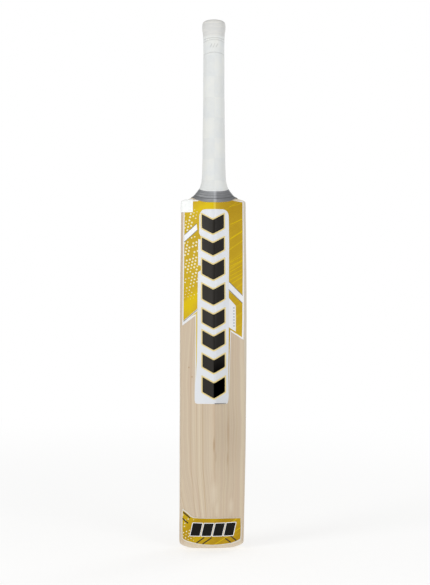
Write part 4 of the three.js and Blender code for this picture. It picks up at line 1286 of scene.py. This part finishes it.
# ------------------------------------------------------------------ the blank label over the left shoulder
def label_mesh():
    zs = np.concatenate([np.linspace(539.5, 556, 14), np.linspace(556.8, 559.9, 8)])
    cols = 30
    rows = []
    for z in zs:
        w, rb, rf, fb, ff, sb, sf, yb, yf = arcs(z)
        s = min(0.98 * sb, (33.9 + float(lean(z))) / float(w))
        start = math.degrees(math.asin(s * 0.9 / float(sb)))
        rows.append(360 - np.linspace(start, 92, cols))
    th = np.array(rows)[:, ::-1]
    z = np.broadcast_to(zs[:, None], th.shape)
    base, n = surf(th, z), out(th, z)
    # Blank film that has creased slightly where it bends over the edge.
    crease = 0.12 * np.sin(th * 0.35 + z * 0.8) * np.sin(z * 0.9 + 1.0)
    top = base + n * (0.82 + crease)[..., None]
    bottom = base + n * (0.60 + crease)[..., None]
    r, c = th.shape
    v = np.concatenate([top.reshape(-1, 3), bottom.reshape(-1, 3)])
    f = []
    o = r * c
    for j in range(r - 1):
        for i in range(c - 1):
            a = j * c + i
            f.append((a, a + 1, a + 1 + c, a + c))
            f.append((o + a, o + a + c, o + a + 1 + c, o + a + 1))
    for i in range(c - 1):
        a, b = i, (r - 1) * c + i
        f.append((a + 1, a, o + a, o + a + 1))
        f.append((b, b + 1, o + b + 1, o + b))
    for j in range(r - 1):
        a, b = j * c, j * c + c - 1
        f.append((a, a + c, o + a + c, o + a))
        f.append((b + c, b, o + b, o + b + c))
    return v, f


label = add_mesh("shoulder_label_film", *label_mesh(), LABEL, 40, "label_paper")
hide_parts("shoulder_label")

# ------------------------------------------------------------------ CAD nodes that stay, with their materials
for name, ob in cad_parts.items():
    if ob.hide_render:
        continue
    if name.startswith("cane_"):
        look, slot = CANE, "cane"
    elif name.startswith("rubber_spring"):
        look, slot = RUBBER, "spring_rubber"
    elif name.startswith("cork_"):
        look, slot = CORK, "cork"
    else:
        look, slot = TWINE, "twine"
    ob.data.materials.clear()
    ob.data.materials.append(look)

# ------------------------------------------------------------------ floor, light and camera
scene = bpy.context.scene
scene.view_settings.view_transform = "Standard"

steps, radius = 96, 9.0
floor_rings = [0.0, 0.3, 0.8, 1.6, 3.0, radius]
fv = [(0, 0, 0)] + [
    (r * math.cos(2 * math.pi * i / steps), r * math.sin(2 * math.pi * i / steps), 0)
    for r in floor_rings[1:]
    for i in range(steps)
]
ff = [(0, 1 + i, 1 + (i + 1) % steps) for i in range(steps)]
for k in range(len(floor_rings) - 2):
    a = 1 + k * steps
    ff += [(a + i, a + steps + i, a + steps + (i + 1) % steps, a + (i + 1) % steps) for i in range(steps)]
me = bpy.data.meshes.new("floor")
me.from_pydata(fv, [], ff)
me.update()
floor = bpy.data.objects.new("floor", me)
floor.location.z = -0.0004
scene.collection.objects.link(floor)
n = Nodes("floor_pale")
x, y, z = n.split(n.position)
dist = n.math("SQRT", n.math("ADD", n.math("MULTIPLY", x, x), n.math("MULTIPLY", y, y)))
far = n.span(dist, 0.25, 2.2)
n.put(n.bsdf.inputs["Base Color"], n.mix(far, (0.60, 0.60, 0.595, 1), (0.0, 0.0, 0.0, 1)))
n.bsdf.inputs["Roughness"].default_value = 0.9
n.bsdf.inputs["Specular IOR Level"].default_value = 0.0
n.bsdf.inputs["Emission Color"].default_value = (1, 1, 1, 1)
n.put(n.bsdf.inputs["Emission Strength"], n.span(far, 0, 1, 0.53, 1.0, smoothly=False))
me.materials.append(n.material)

world = bpy.data.worlds.new("studio")
scene.world = world
world.use_nodes = True
nt = world.node_tree
nt.nodes.clear()
output = nt.nodes.new("ShaderNodeOutputWorld")
path = nt.nodes.new("ShaderNodeLightPath")
seen = nt.nodes.new("ShaderNodeBackground")
seen.inputs["Color"].default_value = (1, 1, 1, 1)
seen.inputs["Strength"].default_value = 1.0
lit = nt.nodes.new("ShaderNodeBackground")
lit.inputs["Color"].default_value = (1, 1, 1, 1)
lit.inputs["Strength"].default_value = 0.56
mixed = nt.nodes.new("ShaderNodeMixShader")
nt.links.new(path.outputs["Is Camera Ray"], mixed.inputs[0])
nt.links.new(lit.outputs[0], mixed.inputs[1])
nt.links.new(seen.outputs[0], mixed.inputs[2])
nt.links.new(mixed.outputs[0], output.inputs["Surface"])


def area(name, location, target, size, energy):
    data = bpy.data.lights.new(name, "AREA")
    data.shape, data.size, data.energy = "DISK", size, energy
    ob = bpy.data.objects.new(name, data)
    ob.location = location
    ob.rotation_mode = "QUATERNION"
    ob.rotation_quaternion = (Vector(target) - Vector(location)).to_track_quat("-Z", "Y")
    scene.collection.objects.link(ob)
    return ob


area("key_light", (-2.1, -1.7, 1.5), (0, 0, 0.42), 1.3, 18.0)
area("fill_light", (1.5, -2.6, 0.9), (0, 0, 0.42), 1.6, 16.5)
area("rim_light", (1.8, 1.9, 1.4), (0, 0, 0.42), 1.3, 8.0)

camera_data = bpy.data.cameras.new("camera")
camera_data.sensor_width = 36.0
camera_data.lens = 18.0 / math.tan(math.radians(24.927 / 2))
camera = bpy.data.objects.new("camera", camera_data)
camera.location = (-0.11705, -2.12678, 0.41090)
camera.rotation_euler = (math.pi / 2, 0, math.radians(-3.2))
camera_data.clip_start, camera_data.clip_end = 0.01, 100
scene.collection.objects.link(camera)
scene.camera = camera

bpy.context.view_layer.update()
